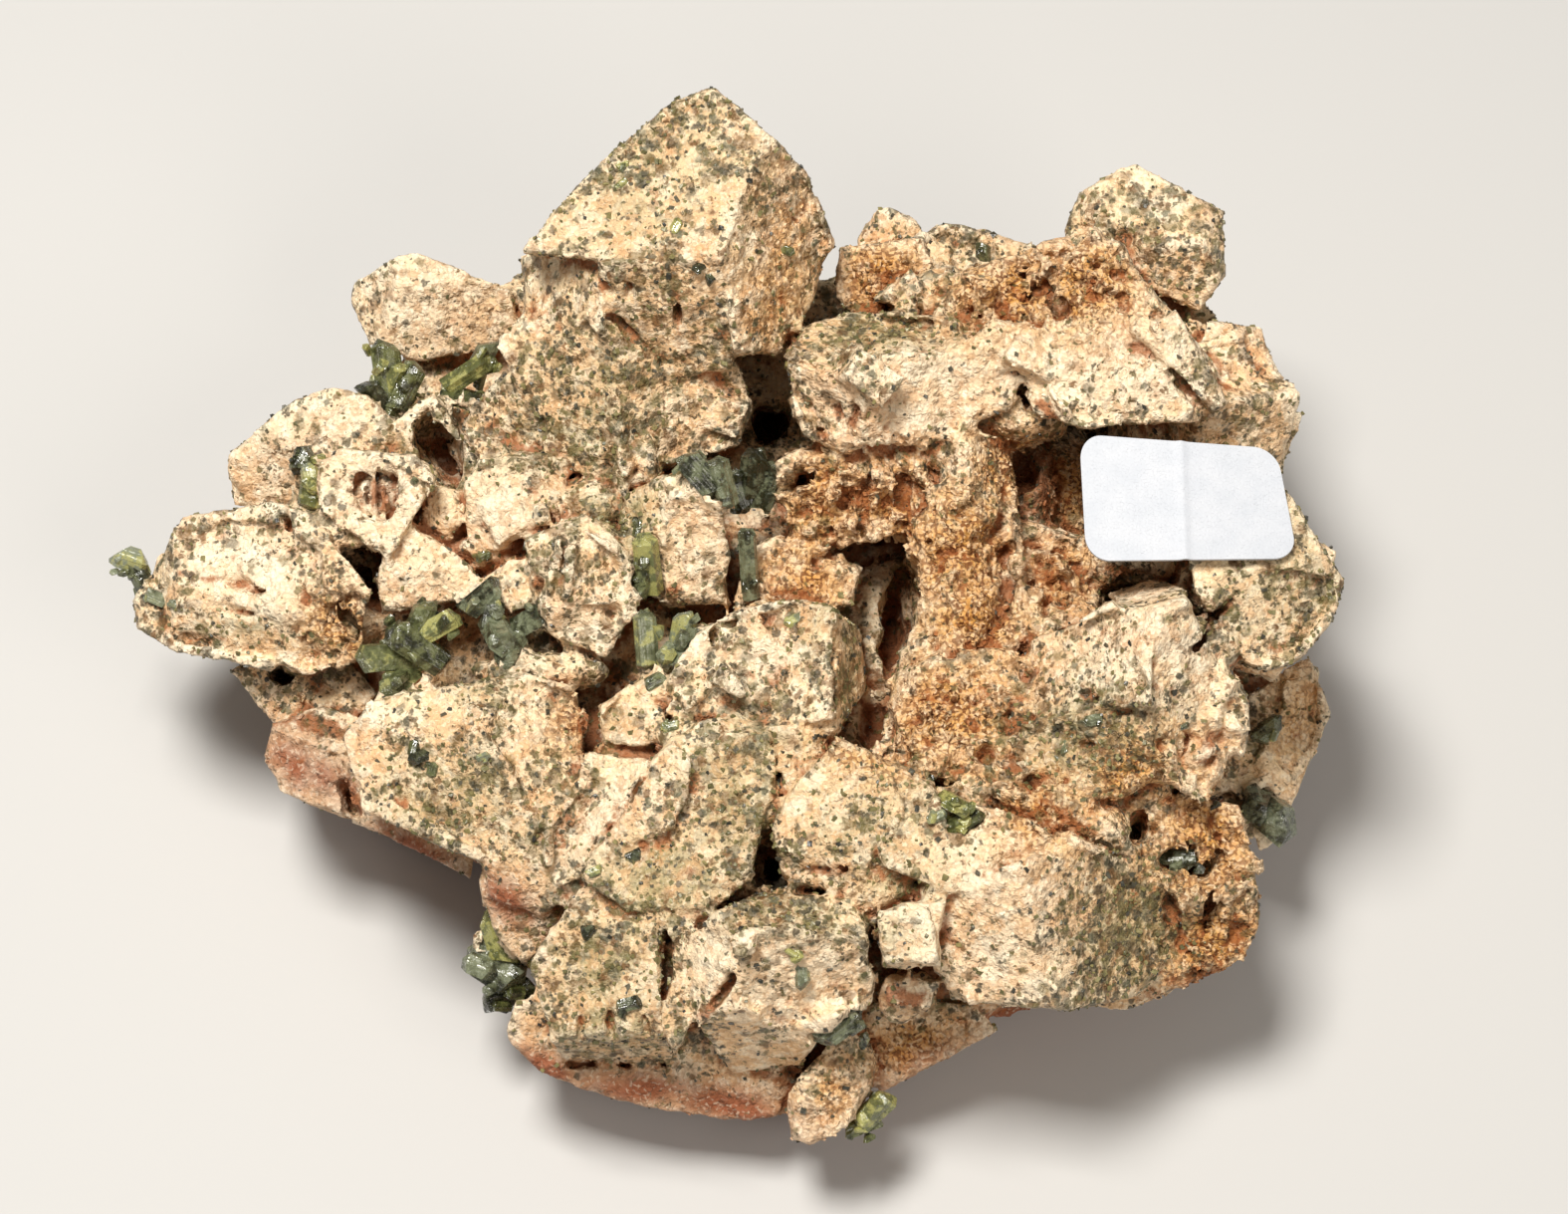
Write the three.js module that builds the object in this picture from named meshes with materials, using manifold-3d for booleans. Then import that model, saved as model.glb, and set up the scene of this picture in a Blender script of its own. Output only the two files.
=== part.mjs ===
// An epidote specimen as it lies on a table: blocky feldspar crystals grown together in one cluster,
// sprays of small glassy epidote prisms in the seams between the blocks, and a blank paper label.
// Lengths are in millimetres and +Z is up. The origin is on the table, under the middle of the specimen.

import * as THREE from "three";
import { ConvexGeometry } from "three/addons/geometries/ConvexGeometry.js";
import { mergeVertices } from "three/addons/utils/BufferGeometryUtils.js";
import Module from "manifold-3d";

const wasm = await Module();
wasm.setup();

// The portrait view looks down at the specimen at this angle, from this far away, towards a point
// on the upright axis at this height.
const VIEW_ELEVATION = THREE.MathUtils.degToRad(62);
const VIEW_DISTANCE = 330;
const VIEW_CENTRE_HEIGHT = 22;
// The middle of the specimen [right, back] of that axis, where the origin is.
const MIDDLE = [-4.47, -1.23];

// Clearance round every epidote prism and under the label, so that no two pieces touch.
const SEAT_GAP = 0.3;
const LABEL_THICKNESS = 0.35;
// An outline corner that lies closer than this to the line between its neighbours is left out.
const OUTLINE_TOLERANCE = 0.7;
// A block is cut from a tapering post that stands this far above its first face's height.
const POST_RISE = 16;

// A feldspar block. The outline is its edge in the portrait view, as [across, rise] from the middle.
// Each face is [across, rise, height, slope to the right, slope to the back]: a plane through that
// point. The block runs down to its root height, where its outline has shrunk to the stated share.
// Its sides follow the lines of sight, so the portrait view looks along them. Where a back is given,
// the block ends that far back in an upright face.
const FELDSPAR_BLOCKS = {
  tall_block: {
    outline: [
      [-8.5, 42.5], [-5.3, 43.6], [-2.4, 41.8], [1.2, 38.9], [2.8, 36.6], [4.2, 33.5], [5.7, 30.6],
      [4.3, 27.3], [0.2, 21.2], [-3, 20.5], [-20.3, 22], [-21.9, 27.5], [-21.8, 30], [-19, 33.8],
      [-16.5, 36],
    ],
    faces: [[-9, 29.5, 46.5, 0.2, 0.3], [-9, 29.5, 46.5, 0.1, 1.5], [-3.8, 30, 47.6, -1.5, 0.9]],
    root: 21,
    shrink: 0.84,
    back: 35.5,
  },
  wedge_slab: {
    outline: [
      [-27, 15.3], [-26.3, 17], [-20, 21.9], [-15.8, 24.6], [-12.5, 24], [-8, 21], [-3, 20.5],
      [-1.5, 16.5], [-2.5, 13.4], [-8.5, 11.6], [-14, 10.2], [-20, 11.6], [-26, 13],
    ],
    faces: [[-12.5, 17, 36, 0.3, 1], [-12.5, 17, 36, -0.45, 0.9]],
    root: 12,
    shrink: 0.8,
  },
  white_knob: {
    outline: [
      [-26.3, 10.5], [-25, 12.6], [-22, 13.3], [-19.5, 13], [-17, 11.5], [-18, 8.5], [-19, 7.5],
      [-21.5, 5.5], [-24, 4.3], [-26, 5.5],
    ],
    faces: [[-21, 9.3, 31.5, -0.15, 0.25], [-21.5, 8.7, 31.4, 0.5, 1.1]],
    root: 12,
    shrink: 0.85,
  },
  split_block: {
    outline: [
      [-21.3, 6], [-19.5, 7.4], [-16, 8.2], [-13.2, 6], [-12.3, 3.8], [-11.5, 1], [-12.5, -1.5],
      [-14, -3.5], [-16, -4.4], [-17.5, -3.6], [-19.3, -2.2], [-19.6, 1], [-21, 4.3],
    ],
    faces: [[-16, 0.6, 32, 0.05, 0.35], [-16, 0.6, 32, -0.1, 1.7], [-13.2, 3.4, 32.8, -1.2, 0.5]],
    root: 12,
    shrink: 0.82,
  },
  split_heel: {
    outline: [[-25, 2.2], [-22.3, 4.3], [-19.8, 4.4], [-19.4, 0.8], [-22, 0.1], [-24.5, 0.8]],
    faces: [[-22, 2.6, 28.6, 0.15, 0.45]],
    root: 12,
    shrink: 0.9,
  },
  crown_block: {
    outline: [
      [-13.3, 9.8], [-11, 11], [-8, 11.6], [-5, 9.8], [-4.2, 8], [-3.7, 0.2], [-9.8, -0.2],
      [-12.3, 4], [-13.3, 8],
    ],
    faces: [[-8.9, 9.4, 36, 0.05, -0.1], [-8.9, 9.4, 36, -0.15, 1.3], [-8.9, 9.4, 36, 1.1, 1.1]],
    root: 12,
    shrink: 0.85,
  },
  central_block: {
    outline: [
      [-9.5, -6], [-7, -2], [-3, 0.2], [1.5, 1], [5, -0.2], [6.9, -1.8], [7.5, -5], [7.8, -7.5],
      [6, -9.8], [4, -11.6], [1, -14.2], [-4, -12], [-9, -10.2],
    ],
    faces: [[4.9, -2, 34, 0.12, 0.4], [4.9, -5, 32.6, -1.7, 0.4], [2, -9, 30.9, 0.1, 1.1]],
    root: 12,
    shrink: 0.85,
  },
  pale_knob: {
    outline: [
      [-5.8, -6], [-5, -3.5], [-3, -1.7], [-1, -1.2], [0.6, -1.9], [1.6, -4], [1.2, -5],
      [-0.5, -6.6], [-3, -7.8], [-5, -7.2],
    ],
    faces: [[-2, -4.6, 35.6, -0.1, 0.15], [-2, -5.2, 35.5, 0, 1.3], [-3.8, -4, 35.5, 1.1, 0.3]],
    root: 24,
    shrink: 0.8,
  },
  small_knob: {
    outline: [
      [-14.9, -8], [-12.5, -6.3], [-10.5, -5.5], [-8.4, -8.8], [-9, -10.4], [-10.8, -12.2],
      [-14.6, -11.8],
    ],
    faces: [[-12, -9, 29.5, -0.1, 0.3], [-12, -9.5, 29.3, 0.15, 1.5]],
    root: 14,
    shrink: 0.85,
  },
  ridge_slab: {
    outline: [
      [-8.8, -10.6], [-6, -10], [-0.8, -10.6], [0.2, -13.5], [-0.8, -18], [-2.3, -22.8], [-5.5, -25.2],
      [-9, -28.5], [-20.4, -29], [-17.8, -24.5], [-13.6, -16.8], [-11, -13],
    ],
    faces: [[-8, -20, 28, 0.12, 0.42], [-8.6, -16, 29.5, 0.5, 0.35]],
    root: 8,
    shrink: 0.85,
  },
  ridge_slab_foot: {
    outline: [
      [-16.5, -23.5], [-5.5, -25], [-7.6, -28], [-8.3, -32], [-7.2, -36.5], [-8.5, -38.4], [-13.5, -38.2],
      [-17, -37.6], [-19.6, -36.3], [-20.2, -33.5], [-21, -29.8],
    ],
    faces: [[-13, -30, 23, 0.12, 0.5]],
    root: 11,
    shrink: 0.74,
  },
  front_block: {
    outline: [
      [-8.4, -28], [-6, -25.5], [-3, -24], [0, -23.8], [5, -24.4], [8, -27], [8.6, -30.2], [8.4, -32],
      [6, -33.8], [4.2, -35], [3, -37.6], [0, -39.8], [-5, -39], [-7.5, -36], [-8.4, -31],
    ],
    faces: [
      [1, -26.6, 29, 0, -0.1], [1, -26.6, 29, -0.1, 1], [-3, -28, 28.2, 0.7, 0.8],
      [1, -34, 23.5, 0, 2.2],
    ],
    root: 10,
    shrink: 0.72,
  },
  middle_right_block: {
    outline: [
      [5, -10.6], [3, -12.3], [0.2, -15.8], [-1.2, -18.8], [-0.3, -20.6], [0.4, -22.4], [1, -23.4],
      [4, -23.7], [9, -24], [13, -22.5], [15.8, -18], [14.5, -15.5], [12, -13.6], [9, -12.3],
    ],
    faces: [[6, -16, 32, 0.02, 0.35], [2.5, -18.5, 31, 0.9, 0.6], [6, -21, 29.8, 0, 1.3]],
    root: 10,
    shrink: 0.82,
  },
  front_right_block: {
    outline: [
      [14, -17.8], [17, -16.9], [21, -17.5], [25, -20.2], [30, -20.5], [32.5, -22.6], [33.8, -25.5],
      [34, -29], [32.5, -31.5], [30, -33.4], [26, -34.2], [24, -34.8], [15, -33.4], [14, -31], [14.5, -24],
    ],
    faces: [[20, -25, 29.5, 0.12, 0.5], [21, -25, 29.6, -0.25, 0.42], [31, -27, 26.3, -1.3, 0.6]],
    root: 15,
    shrink: 0.78,
  },
  grey_block: {
    outline: [[8, -28.5], [8.6, -26], [10.2, -24.6], [14.5, -24], [14.2, -29], [11, -30.4], [8.6, -30]],
    faces: [[11, -27.5, 28.6, 0.1, 0.5], [9.8, -27.5, 28.4, 1.2, 0.6]],
    root: 14,
    shrink: 0.88,
  },
  foot_prism: {
    outline: [
      [5, -35.5], [8, -36], [8.8, -38], [7.6, -40.5], [7, -43], [2.6, -45.9], [0.6, -45], [0.3, -43],
      [0.5, -40.5], [3, -37.5],
    ],
    faces: [[4.5, -40, 14.5, 0.1, 0.45], [5.6, -40, 14.6, -1.1, 0.5], [2.2, -42, 13.4, 1.2, 0.7]],
    root: 4.5,
    shrink: 0.7,
  },
  front_shelf: {
    outline: [[8, -33], [16, -33], [18.6, -35.2], [16, -36.6], [12, -39.3], [9, -40.6], [7, -40]],
    faces: [[12, -36.5, 12, 0.1, 0.8]],
    root: 4,
    shrink: 0.85,
  },
  front_rim: {
    outline: [
      [-22.2, -36], [-21, -33], [-4, -34], [2, -38], [0.6, -42.6], [-1, -43.5], [-3.5, -43.4],
      [-6.5, -41.4], [-10, -41.5], [-14, -41.2], [-17, -39.9], [-20, -38.8],
    ],
    faces: [[-10, -39, 12, 0, 1.1]],
    root: 3.5,
    shrink: 0.8,
  },
  ledge_block: {
    outline: [
      [19.8, -3.5], [22, -2.6], [26.5, 0], [29, 2.2], [31.5, 2.8], [34, 2.2], [35, 0.3], [36, -2.5],
      [38, -6], [37, -8.5], [34.3, -12], [30, -13], [21, -10],
    ],
    faces: [[31, 0.2, 39.4, 0, -0.1], [31, 0.2, 39.4, 0.55, 0.55], [33.4, -1.5, 39.2, -1, 0.5]],
    root: 20,
    shrink: 0.8,
  },
  lower_ledge: {
    outline: [
      [19.7, -11], [22, -8.6], [26, -7.8], [31, -7.4], [34.5, -9.5], [31.8, -14.6], [28.5, -16.3],
      [24, -16.2], [20.8, -15.1],
    ],
    faces: [[26, -11, 33.2, 0.05, 0.35], [26, -14, 31.8, -0.1, 1.3]],
    root: 10,
    shrink: 0.85,
  },
  ledge_rim: {
    outline: [
      [35, -1], [38.5, -5.2], [39.6, -7], [39.8, -10], [38.2, -14], [36, -16.5], [32.5, -15], [34, -10],
    ],
    faces: [[36.5, -9, 32, -0.5, 0.3]],
    root: 19,
    shrink: 0.75,
  },
  crumbly_floor: {
    outline: [
      [10, -5], [13, -3.6], [20, -3.2], [22, -8], [20.5, -14.5], [15, -15.6], [10.5, -13], [8, -11.6],
      [9, -8],
    ],
    faces: [[14, -9, 30.6, 0.05, 0.15], [11.5, -9, 30.4, 0.8, 0.2]],
    root: 8,
    shrink: 0.9,
  },
  crumbly_column: {
    outline: [
      [11.5, 8], [13, 13], [17, 15], [19.6, 14], [19.9, 9], [20, 3], [21.8, -2.4], [19, -4], [13, -3.8],
      [11, -0.5], [10.4, 4],
    ],
    faces: [[15, 5, 33.5, -0.35, 0.45], [15, 5, 33.5, 0.9, 0.4]],
    root: 8,
    shrink: 0.92,
  },
  hollow_floor: {
    outline: [[20.3, 5.2], [22.3, 6.6], [26, 6.3], [29, 3.4], [27, 0], [22, -1.6], [20, 0.5]],
    faces: [[24, 3, 28, 0.15, 0.3], [22.6, 3, 27.8, 1, 0.4]],
    root: 8,
    shrink: 0.9,
  },
  upper_block: {
    outline: [
      [0.3, 20.3], [0.8, 22], [2.8, 24], [6, 25], [10, 25.3], [15.5, 24.6], [20, 21.5], [21.3, 19.5],
      [20, 16.5], [17, 14.4], [13, 12.9], [8, 12.9], [4.5, 13.2], [2.3, 14.6], [1, 17.5],
    ],
    faces: [[8, 20.8, 41.8, 0.03, -0.25], [8, 20.8, 41.8, -0.12, 0.9], [4.6, 19, 40.4, 1, 1.1]],
    root: 24,
    shrink: 0.8,
  },
  upper_rhomb: {
    outline: [[4.8, 18.6], [5.8, 22], [7, 22.4], [10.3, 20.4], [10, 17.6], [8, 16.7]],
    faces: [[7.4, 20.2, 43, 0.1, 0.1], [7.4, 20, 43, -0.3, 1.1]],
    root: 33,
    shrink: 0.9,
  },
  pitted_block: {
    outline: [
      [-0.5, 12], [1.5, 13.5], [5, 14], [15, 14], [14.5, 10], [11.5, 6.5], [8, 5.7], [4.5, 4.2],
      [1.5, 4.2], [0.2, 6.5],
    ],
    faces: [[5, 11.5, 35, -0.05, 0.3], [5, 11.5, 35, 0, 1.2]],
    root: 16,
    shrink: 0.88,
  },
  lower_crumb: {
    outline: [[-2.5, 5], [0, 6], [5, 5], [7.2, 3.5], [6.4, 0.4], [2, -0.4], [-2.5, 0.3]],
    faces: [[2, 3, 28.5, -0.05, 0.5]],
    root: 12,
    shrink: 0.9,
  },
  right_slope: {
    outline: [
      [20, 20], [22, 25], [24.5, 29.6], [27, 31.9], [29.5, 30.6], [31.5, 28], [35, 24], [37.5, 20.5],
      [39, 17.5], [38, 15.2], [33, 14.4], [25, 14.6], [20.8, 16],
    ],
    faces: [[28, 22, 42, -0.05, 0.42], [31.5, 24, 42.6, -0.8, 0.25], [23.5, 20, 41.4, 0.6, 0.5]],
    root: 27,
    shrink: 0.75,
    back: 35,
  },
  porous_crest: {
    outline: [[13, 25], [15, 28.4], [20, 29.9], [24.5, 31.3], [26, 28], [24, 23], [18, 21.5]],
    faces: [[20, 28, 42, 0.1, 0], [20, 28, 42, 0.05, 0.8]],
    root: 26,
    shrink: 0.8,
    back: 34,
  },
  saddle_block: {
    outline: [[4.6, 26], [5, 30.5], [8, 31.2], [12.4, 31.3], [13.6, 28], [12, 24.5], [6, 24.5]],
    faces: [[9, 29.6, 36, 0.05, 0.1], [9, 29.6, 36, 0.1, 1]],
    root: 20,
    shrink: 0.8,
    back: 35,
  },
  saddle_knob: {
    outline: [[8, 26], [9.4, 27.9], [11.3, 28.5], [13.6, 26], [12, 24.7]],
    faces: [[11, 27, 39.4, -0.1, 0.5]],
    root: 26,
    shrink: 0.9,
  },
  far_peak: {
    outline: [[6.5, 31], [8.8, 34.5], [9.8, 34.1], [12, 32.4], [12.8, 29.5], [7, 29]],
    faces: [[9.4, 32, 27, -0.4, 0.6], [9.2, 32, 27, 0.6, 0.6]],
    root: 13,
    shrink: 0.8,
    back: 37,
  },
  far_ledge: {
    outline: [[12.3, 31.5], [14, 32.6], [17, 32.3], [20, 31.4], [22.8, 30.2], [23, 27.5], [13, 27.5]],
    faces: [[17, 31, 27, -0.1, 0.3]],
    root: 14,
    shrink: 0.8,
    back: 36,
  },
  far_right_block: {
    outline: [
      [23.5, 31.5], [25, 35.2], [27.3, 36.6], [30, 37.3], [32, 36.9], [35, 35.2], [37.5, 33.4], [38.5, 30],
      [38, 27.7], [35.8, 24.4], [32, 25.5], [26, 28.5],
    ],
    faces: [
      [32.5, 30.5, 38.5, 0.05, 0.1], [32.5, 30.5, 38.5, 0, 1.4], [36, 31, 38.5, -1.2, 0.4],
      [26.5, 33, 38.2, 1.2, 0.2],
    ],
    root: 23,
    shrink: 0.8,
    back: 35,
  },
  right_end_block: {
    outline: [
      [35, 22.5], [36, 24.2], [38.4, 24.3], [40.5, 23.6], [41.7, 21.3], [42.5, 19], [43.5, 16.5],
      [43.2, 14.2], [41, 13.7], [37, 15], [35, 19],
    ],
    faces: [[39.5, 21, 34.5, -0.3, 0.2], [39.5, 20.5, 34.4, -0.35, 1]],
    root: 22,
    shrink: 0.8,
  },
  label_block: {
    outline: [
      [34.3, 4.5], [36, 9], [38, 11.5], [42, 11], [44.5, 7.4], [46.5, 4.6], [47.8, 2.3], [47.7, 0],
      [46.5, -1.7], [44, -4.6], [41, -5.7], [38.8, -4.9], [36.6, -2], [35, 1.2],
    ],
    faces: [[41, 4, 37.6, -0.05, 0.25], [44.6, 2, 37, -0.8, 0.5], [40, -1, 35.7, 0.1, 0.9]],
    root: 22,
    shrink: 0.86,
  },
  low_right_block: {
    outline: [
      [39.5, -7], [42.5, -5.5], [44.6, -3.9], [46.2, -6], [46.6, -8.5], [45.9, -11.5], [43.2, -16.5],
      [41.9, -20], [40.2, -21.4], [38.5, -17], [38.5, -10],
    ],
    faces: [[43, -8, 17.5, 0.1, 0.2], [43.3, -10, 17.3, -0.7, 0.7]],
    root: 8,
    shrink: 0.8,
  },
  right_flank: {
    outline: [
      [33, -15.5], [38.8, -16.3], [39.8, -20], [41.2, -25.5], [40.6, -27.5], [39.6, -29.5], [36, -31.8],
      [32, -34], [29, -34.7], [25, -34], [30, -26],
    ],
    faces: [[36.5, -20, 25.5, -0.1, 0.45], [38, -26, 21.5, -0.9, 1.1], [33, -31, 17.5, -0.2, 1.6]],
    root: 9,
    shrink: 0.82,
  },
  far_left_block: {
    outline: [
      [-36.4, 25.8], [-36, 27.6], [-34, 29.2], [-31, 30.2], [-28, 29.6], [-24.5, 28], [-22, 26.8],
      [-21, 23.5], [-24, 21.3], [-30, 20.3], [-34.5, 21.8],
    ],
    faces: [[-30, 27.4, 24, -0.05, 0.2], [-30, 27.4, 24, -0.1, 1.1], [-31.5, 26, 23.4, 1.1, 0.7]],
    root: 12,
    shrink: 0.8,
    back: 34,
  },
  second_left_block: {
    outline: [
      [-47, 9.8], [-46.4, 12.8], [-44, 15], [-40.5, 17.7], [-37, 18.6], [-34.2, 18], [-31.5, 15.5],
      [-33, 11], [-40, 7.5], [-46.6, 7.8],
    ],
    faces: [[-39, 14, 24, -0.02, 0.3], [-41, 13.6, 23.6, 0.4, 1.2]],
    root: 13,
    shrink: 0.82,
    back: 23,
  },
  left_wedge: {
    outline: [
      [-54.4, 1.2], [-52.5, 5.2], [-49.8, 7.9], [-47.3, 8.6], [-42, 8.8], [-39, 7.6], [-36.5, 4.8],
      [-34.2, 1.5], [-34.2, -4.5], [-36, -5.8], [-38.5, -6.4], [-42, -5.2], [-48, -5.1], [-51.5, -4.1],
      [-53.7, -2.3],
    ],
    faces: [[-44, 1.4, 28, 0.3, 0.3], [-44, 0.6, 27.8, 0.3, 1], [-50.5, 1, 25.8, 1.3, 0.4]],
    root: 16,
    shrink: 0.76,
  },
  square_pit_block: {
    outline: [
      [-38.5, 12.5], [-36.5, 13.5], [-33, 12.9], [-30.3, 13], [-28.2, 11], [-28.3, 9.5], [-30, 6.5],
      [-32.3, 3.1], [-34.8, 5.5], [-36.5, 6.2], [-38.5, 8.3],
    ],
    faces: [[-33.5, 9, 32.8, 0.05, 0.3], [-33.5, 6.6, 31.9, 0.1, 1.2]],
    root: 16,
    shrink: 0.75,
  },
  left_gusset: {
    outline: [[-31.2, 8], [-28.8, 6.4], [-25.3, 3.3], [-25.8, 0.8], [-28.5, 0], [-33, -0.4], [-33.8, 2.6]],
    faces: [[-29, 4, 29.2, 0, 0.55], [-28, 2.4, 28.4, 0, 1]],
    root: 10,
    shrink: 0.9,
  },
  lower_west_block: {
    outline: [
      [-37, -10.5], [-34.2, -7.2], [-28, -5.8], [-21, -5.2], [-17, -6.2], [-15.2, -9], [-15.8, -12.5],
      [-18.5, -16.5], [-20.5, -19.5], [-25, -22], [-30, -20.6], [-35.5, -17.5],
    ],
    faces: [[-24, -10.5, 30, 0.22, 0.5], [-24, -10.5, 30, -0.35, 0.3], [-27, -7.8, 30.6, -0.05, -0.3]],
    root: 13,
    shrink: 0.78,
  },
  west_skirt: {
    outline: [
      [-43.3, -12], [-42.3, -9.5], [-38, -8], [-34, -9.5], [-31, -16], [-25, -20.5], [-25.2, -22.7],
      [-30, -21], [-36, -18.1], [-42, -15.3],
    ],
    faces: [[-37, -12.5, 20, 0.35, 0.6]],
    root: 8,
    shrink: 0.82,
  },
  west_neck: {
    outline: [
      [-46.2, -5], [-42, -3.8], [-36, -4.6], [-33.6, -7], [-36, -10.5], [-42, -10.3], [-44.6, -7.9],
    ],
    faces: [[-40, -8, 18.5, 0.25, 0.5]],
    root: 9,
    shrink: 0.7,
  },
  seam_slab: {
    outline: [
      [-15.6, -12], [-12.5, -11.6], [-10, -12.2], [-13, -17.3], [-17.3, -24.3], [-20, -26.2],
      [-24.4, -24.5],
      [-25, -21.5], [-20.6, -18.8], [-17.5, -15],
    ],
    faces: [[-16.5, -18, 26, -0.1, 0.45], [-19, -23.4, 23.4, 0.2, 1.2]],
    root: 9,
    shrink: 0.85,
  },
  seam_toe: {
    outline: [[-24.9, -22.5], [-18, -24.5], [-19, -28], [-21.2, -30.2], [-23.8, -27.2]],
    faces: [[-21.5, -26, 20, 0.1, 1]],
    root: 11,
    shrink: 0.75,
  },
  ridge_step: {
    outline: [[-11.2, -13.2], [-8.7, -10.9], [-7.5, -13], [-7.9, -16.6], [-9.8, -18.4], [-12.8, -17.4]],
    faces: [[-10, -14.6, 31.2, 0.15, 0.42]],
    root: 24,
    shrink: 0.9,
  },
  ridge_scale: {
    outline: [[-14, -21], [-10, -19.4], [-7, -21], [-8, -24.6], [-12.6, -25.4]],
    faces: [[-10.6, -22.4, 27.8, 0.05, 0.5]],
    root: 20,
    shrink: 0.9,
  },
  rubble: {
    outline: [[8.9, -31.4], [11, -30.6], [13.6, -31.2], [13, -33.4], [10.4, -33.8], [9, -33]],
    faces: [[11, -32, 22, 0.1, 0.9]],
    root: 8,
    shrink: 0.9,
  },
  rosette_left: {
    outline: [[-39.6, 7.8], [-38.2, 8], [-37, 5.6], [-38, 4.7], [-39.4, 5.4]],
    faces: [[-38.4, 6.4, 30.2, 0.6, 0.8]],
    root: 20,
    shrink: 0.85,
  },
  rosette_right: {
    outline: [[-37.6, 6.6], [-35.2, 6.4], [-34.9, 5.2], [-36.4, 4.3], [-37.8, 4.8]],
    faces: [[-36.4, 5.6, 30, -0.3, 0.9]],
    root: 20,
    shrink: 0.85,
  },
  outer_layer: {
    outline: [[36, -1.6], [37.4, -2.8], [39.7, -7.8], [39.3, -13], [38.2, -12.6], [38, -8]],
    faces: [[38, -7, 33.2, -0.6, 0.4]],
    root: 22,
    shrink: 0.8,
  },
  olive_corner: {
    outline: [[1.2, 0.9], [4.6, 0.4], [6.6, -1.6], [4.9, -3], [1.8, -1.6]],
    faces: [[4, -1, 35, 0.05, 0.2], [4, -2, 34.9, 0, 1]],
    root: 24,
    shrink: 0.9,
  },
  bright_lump: {
    outline: [[8.4, -19.8], [10.4, -17.3], [12.4, -19], [11.6, -21.4], [9.2, -21.6]],
    faces: [[10.4, -19.2, 32.2, 0.15, 0.7]],
    root: 22,
    shrink: 0.9,
  },
  upper_corner: {
    outline: [[0.8, 17.6], [3, 19.4], [7.4, 17.4], [7.6, 13], [4.5, 13.1], [2.2, 14.5]],
    faces: [[4.8, 17, 39.6, 0.25, 0.9], [4.8, 15.6, 38.6, 0.1, 1.7]],
    root: 30,
    shrink: 0.88,
  },
  seam_lump: {
    outline: [[-19.6, -19.2], [-17.6, -17.4], [-15.7, -18.8], [-17, -21.6], [-19.4, -21.6]],
    faces: [[-17.6, -19.6, 26.6, -0.1, 0.5]],
    root: 16,
    shrink: 0.9,
  },
  crest_knob: {
    outline: [[14.6, 26.4], [15.4, 28.5], [17.4, 29], [18.6, 27.2], [17, 25.4]],
    faces: [[16.4, 27.2, 42.6, 0.1, 0.5]],
    root: 36,
    shrink: 0.85,
  },
  crest_lump: {
    outline: [[16, 22.6], [18, 24.6], [20.2, 24], [20.4, 21.8], [18, 20.8]],
    faces: [[18.2, 23, 42.4, 0.1, 0.7]],
    root: 36,
    shrink: 0.85,
  },
  slope_top: {
    outline: [[24.6, 29.4], [26.8, 31.8], [29.2, 30.4], [29.6, 27], [27, 25.6], [24.8, 26.4]],
    faces: [[27.2, 28.6, 45, -0.1, 0.3], [27.2, 28, 44.9, 0.1, 1.1]],
    root: 36,
    shrink: 0.9,
  },
  slope_ledge: {
    outline: [[22.4, 18.6], [24, 21], [27.6, 21.2], [30, 18.4], [28.4, 15.6], [24, 15.4]],
    faces: [[26.4, 19, 41.6, 0.05, 0.3], [26.4, 17.6, 41.2, -0.1, 1]],
    root: 32,
    shrink: 0.9,
  },
  slope_rib: {
    outline: [[31, 23.8], [33.4, 25], [36.8, 20.4], [38.2, 17], [36.4, 15.8], [33.6, 19]],
    faces: [[34.4, 21, 42, -0.35, 0.55]],
    root: 32,
    shrink: 0.9,
  },
  wing_rib: {
    outline: [[-49.6, 0.8], [-47, 0.9], [-39.6, -0.4], [-39, -3.6], [-44, -3.4], [-49, -2.4]],
    faces: [[-44, -1, 27.4, 0.28, 0.6]],
    root: 20,
    shrink: 0.9,
  },
  wing_tip: {
    outline: [[-54.2, 0.8], [-52.8, 2.6], [-51.6, 0.6], [-50.8, -3.6], [-52.6, -3.2], [-53.8, -1.8]],
    faces: [[-52.4, -0.6, 23.6, 0.6, 0.5]],
    root: 18,
    shrink: 0.7,
  },
  block_plate: {
    outline: [[-33.6, -8.4], [-30, -7], [-26.4, -8.2], [-27.6, -11.2], [-32.2, -11.6]],
    faces: [[-30, -9.4, 29.9, 0.2, 0.5]],
    root: 20,
    shrink: 0.9,
  },
  corner_rib: {
    outline: [[-16.2, 6.8], [-13.6, 5.6], [-12.4, 3], [-13.4, 1], [-15.8, 1.6]],
    faces: [[-14.6, 3.8, 33.8, -0.2, 0.4]],
    root: 22,
    shrink: 0.9,
  },
  front_face_plate: {
    outline: [[-2.4, -28.2], [0.8, -27.2], [4.8, -27.8], [4.2, -31.4], [0.4, -33], [-2.8, -31.6]],
    faces: [[1, -29.6, 28, -0.05, 0.9]],
    root: 16,
    shrink: 0.88,
  },
};

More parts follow.
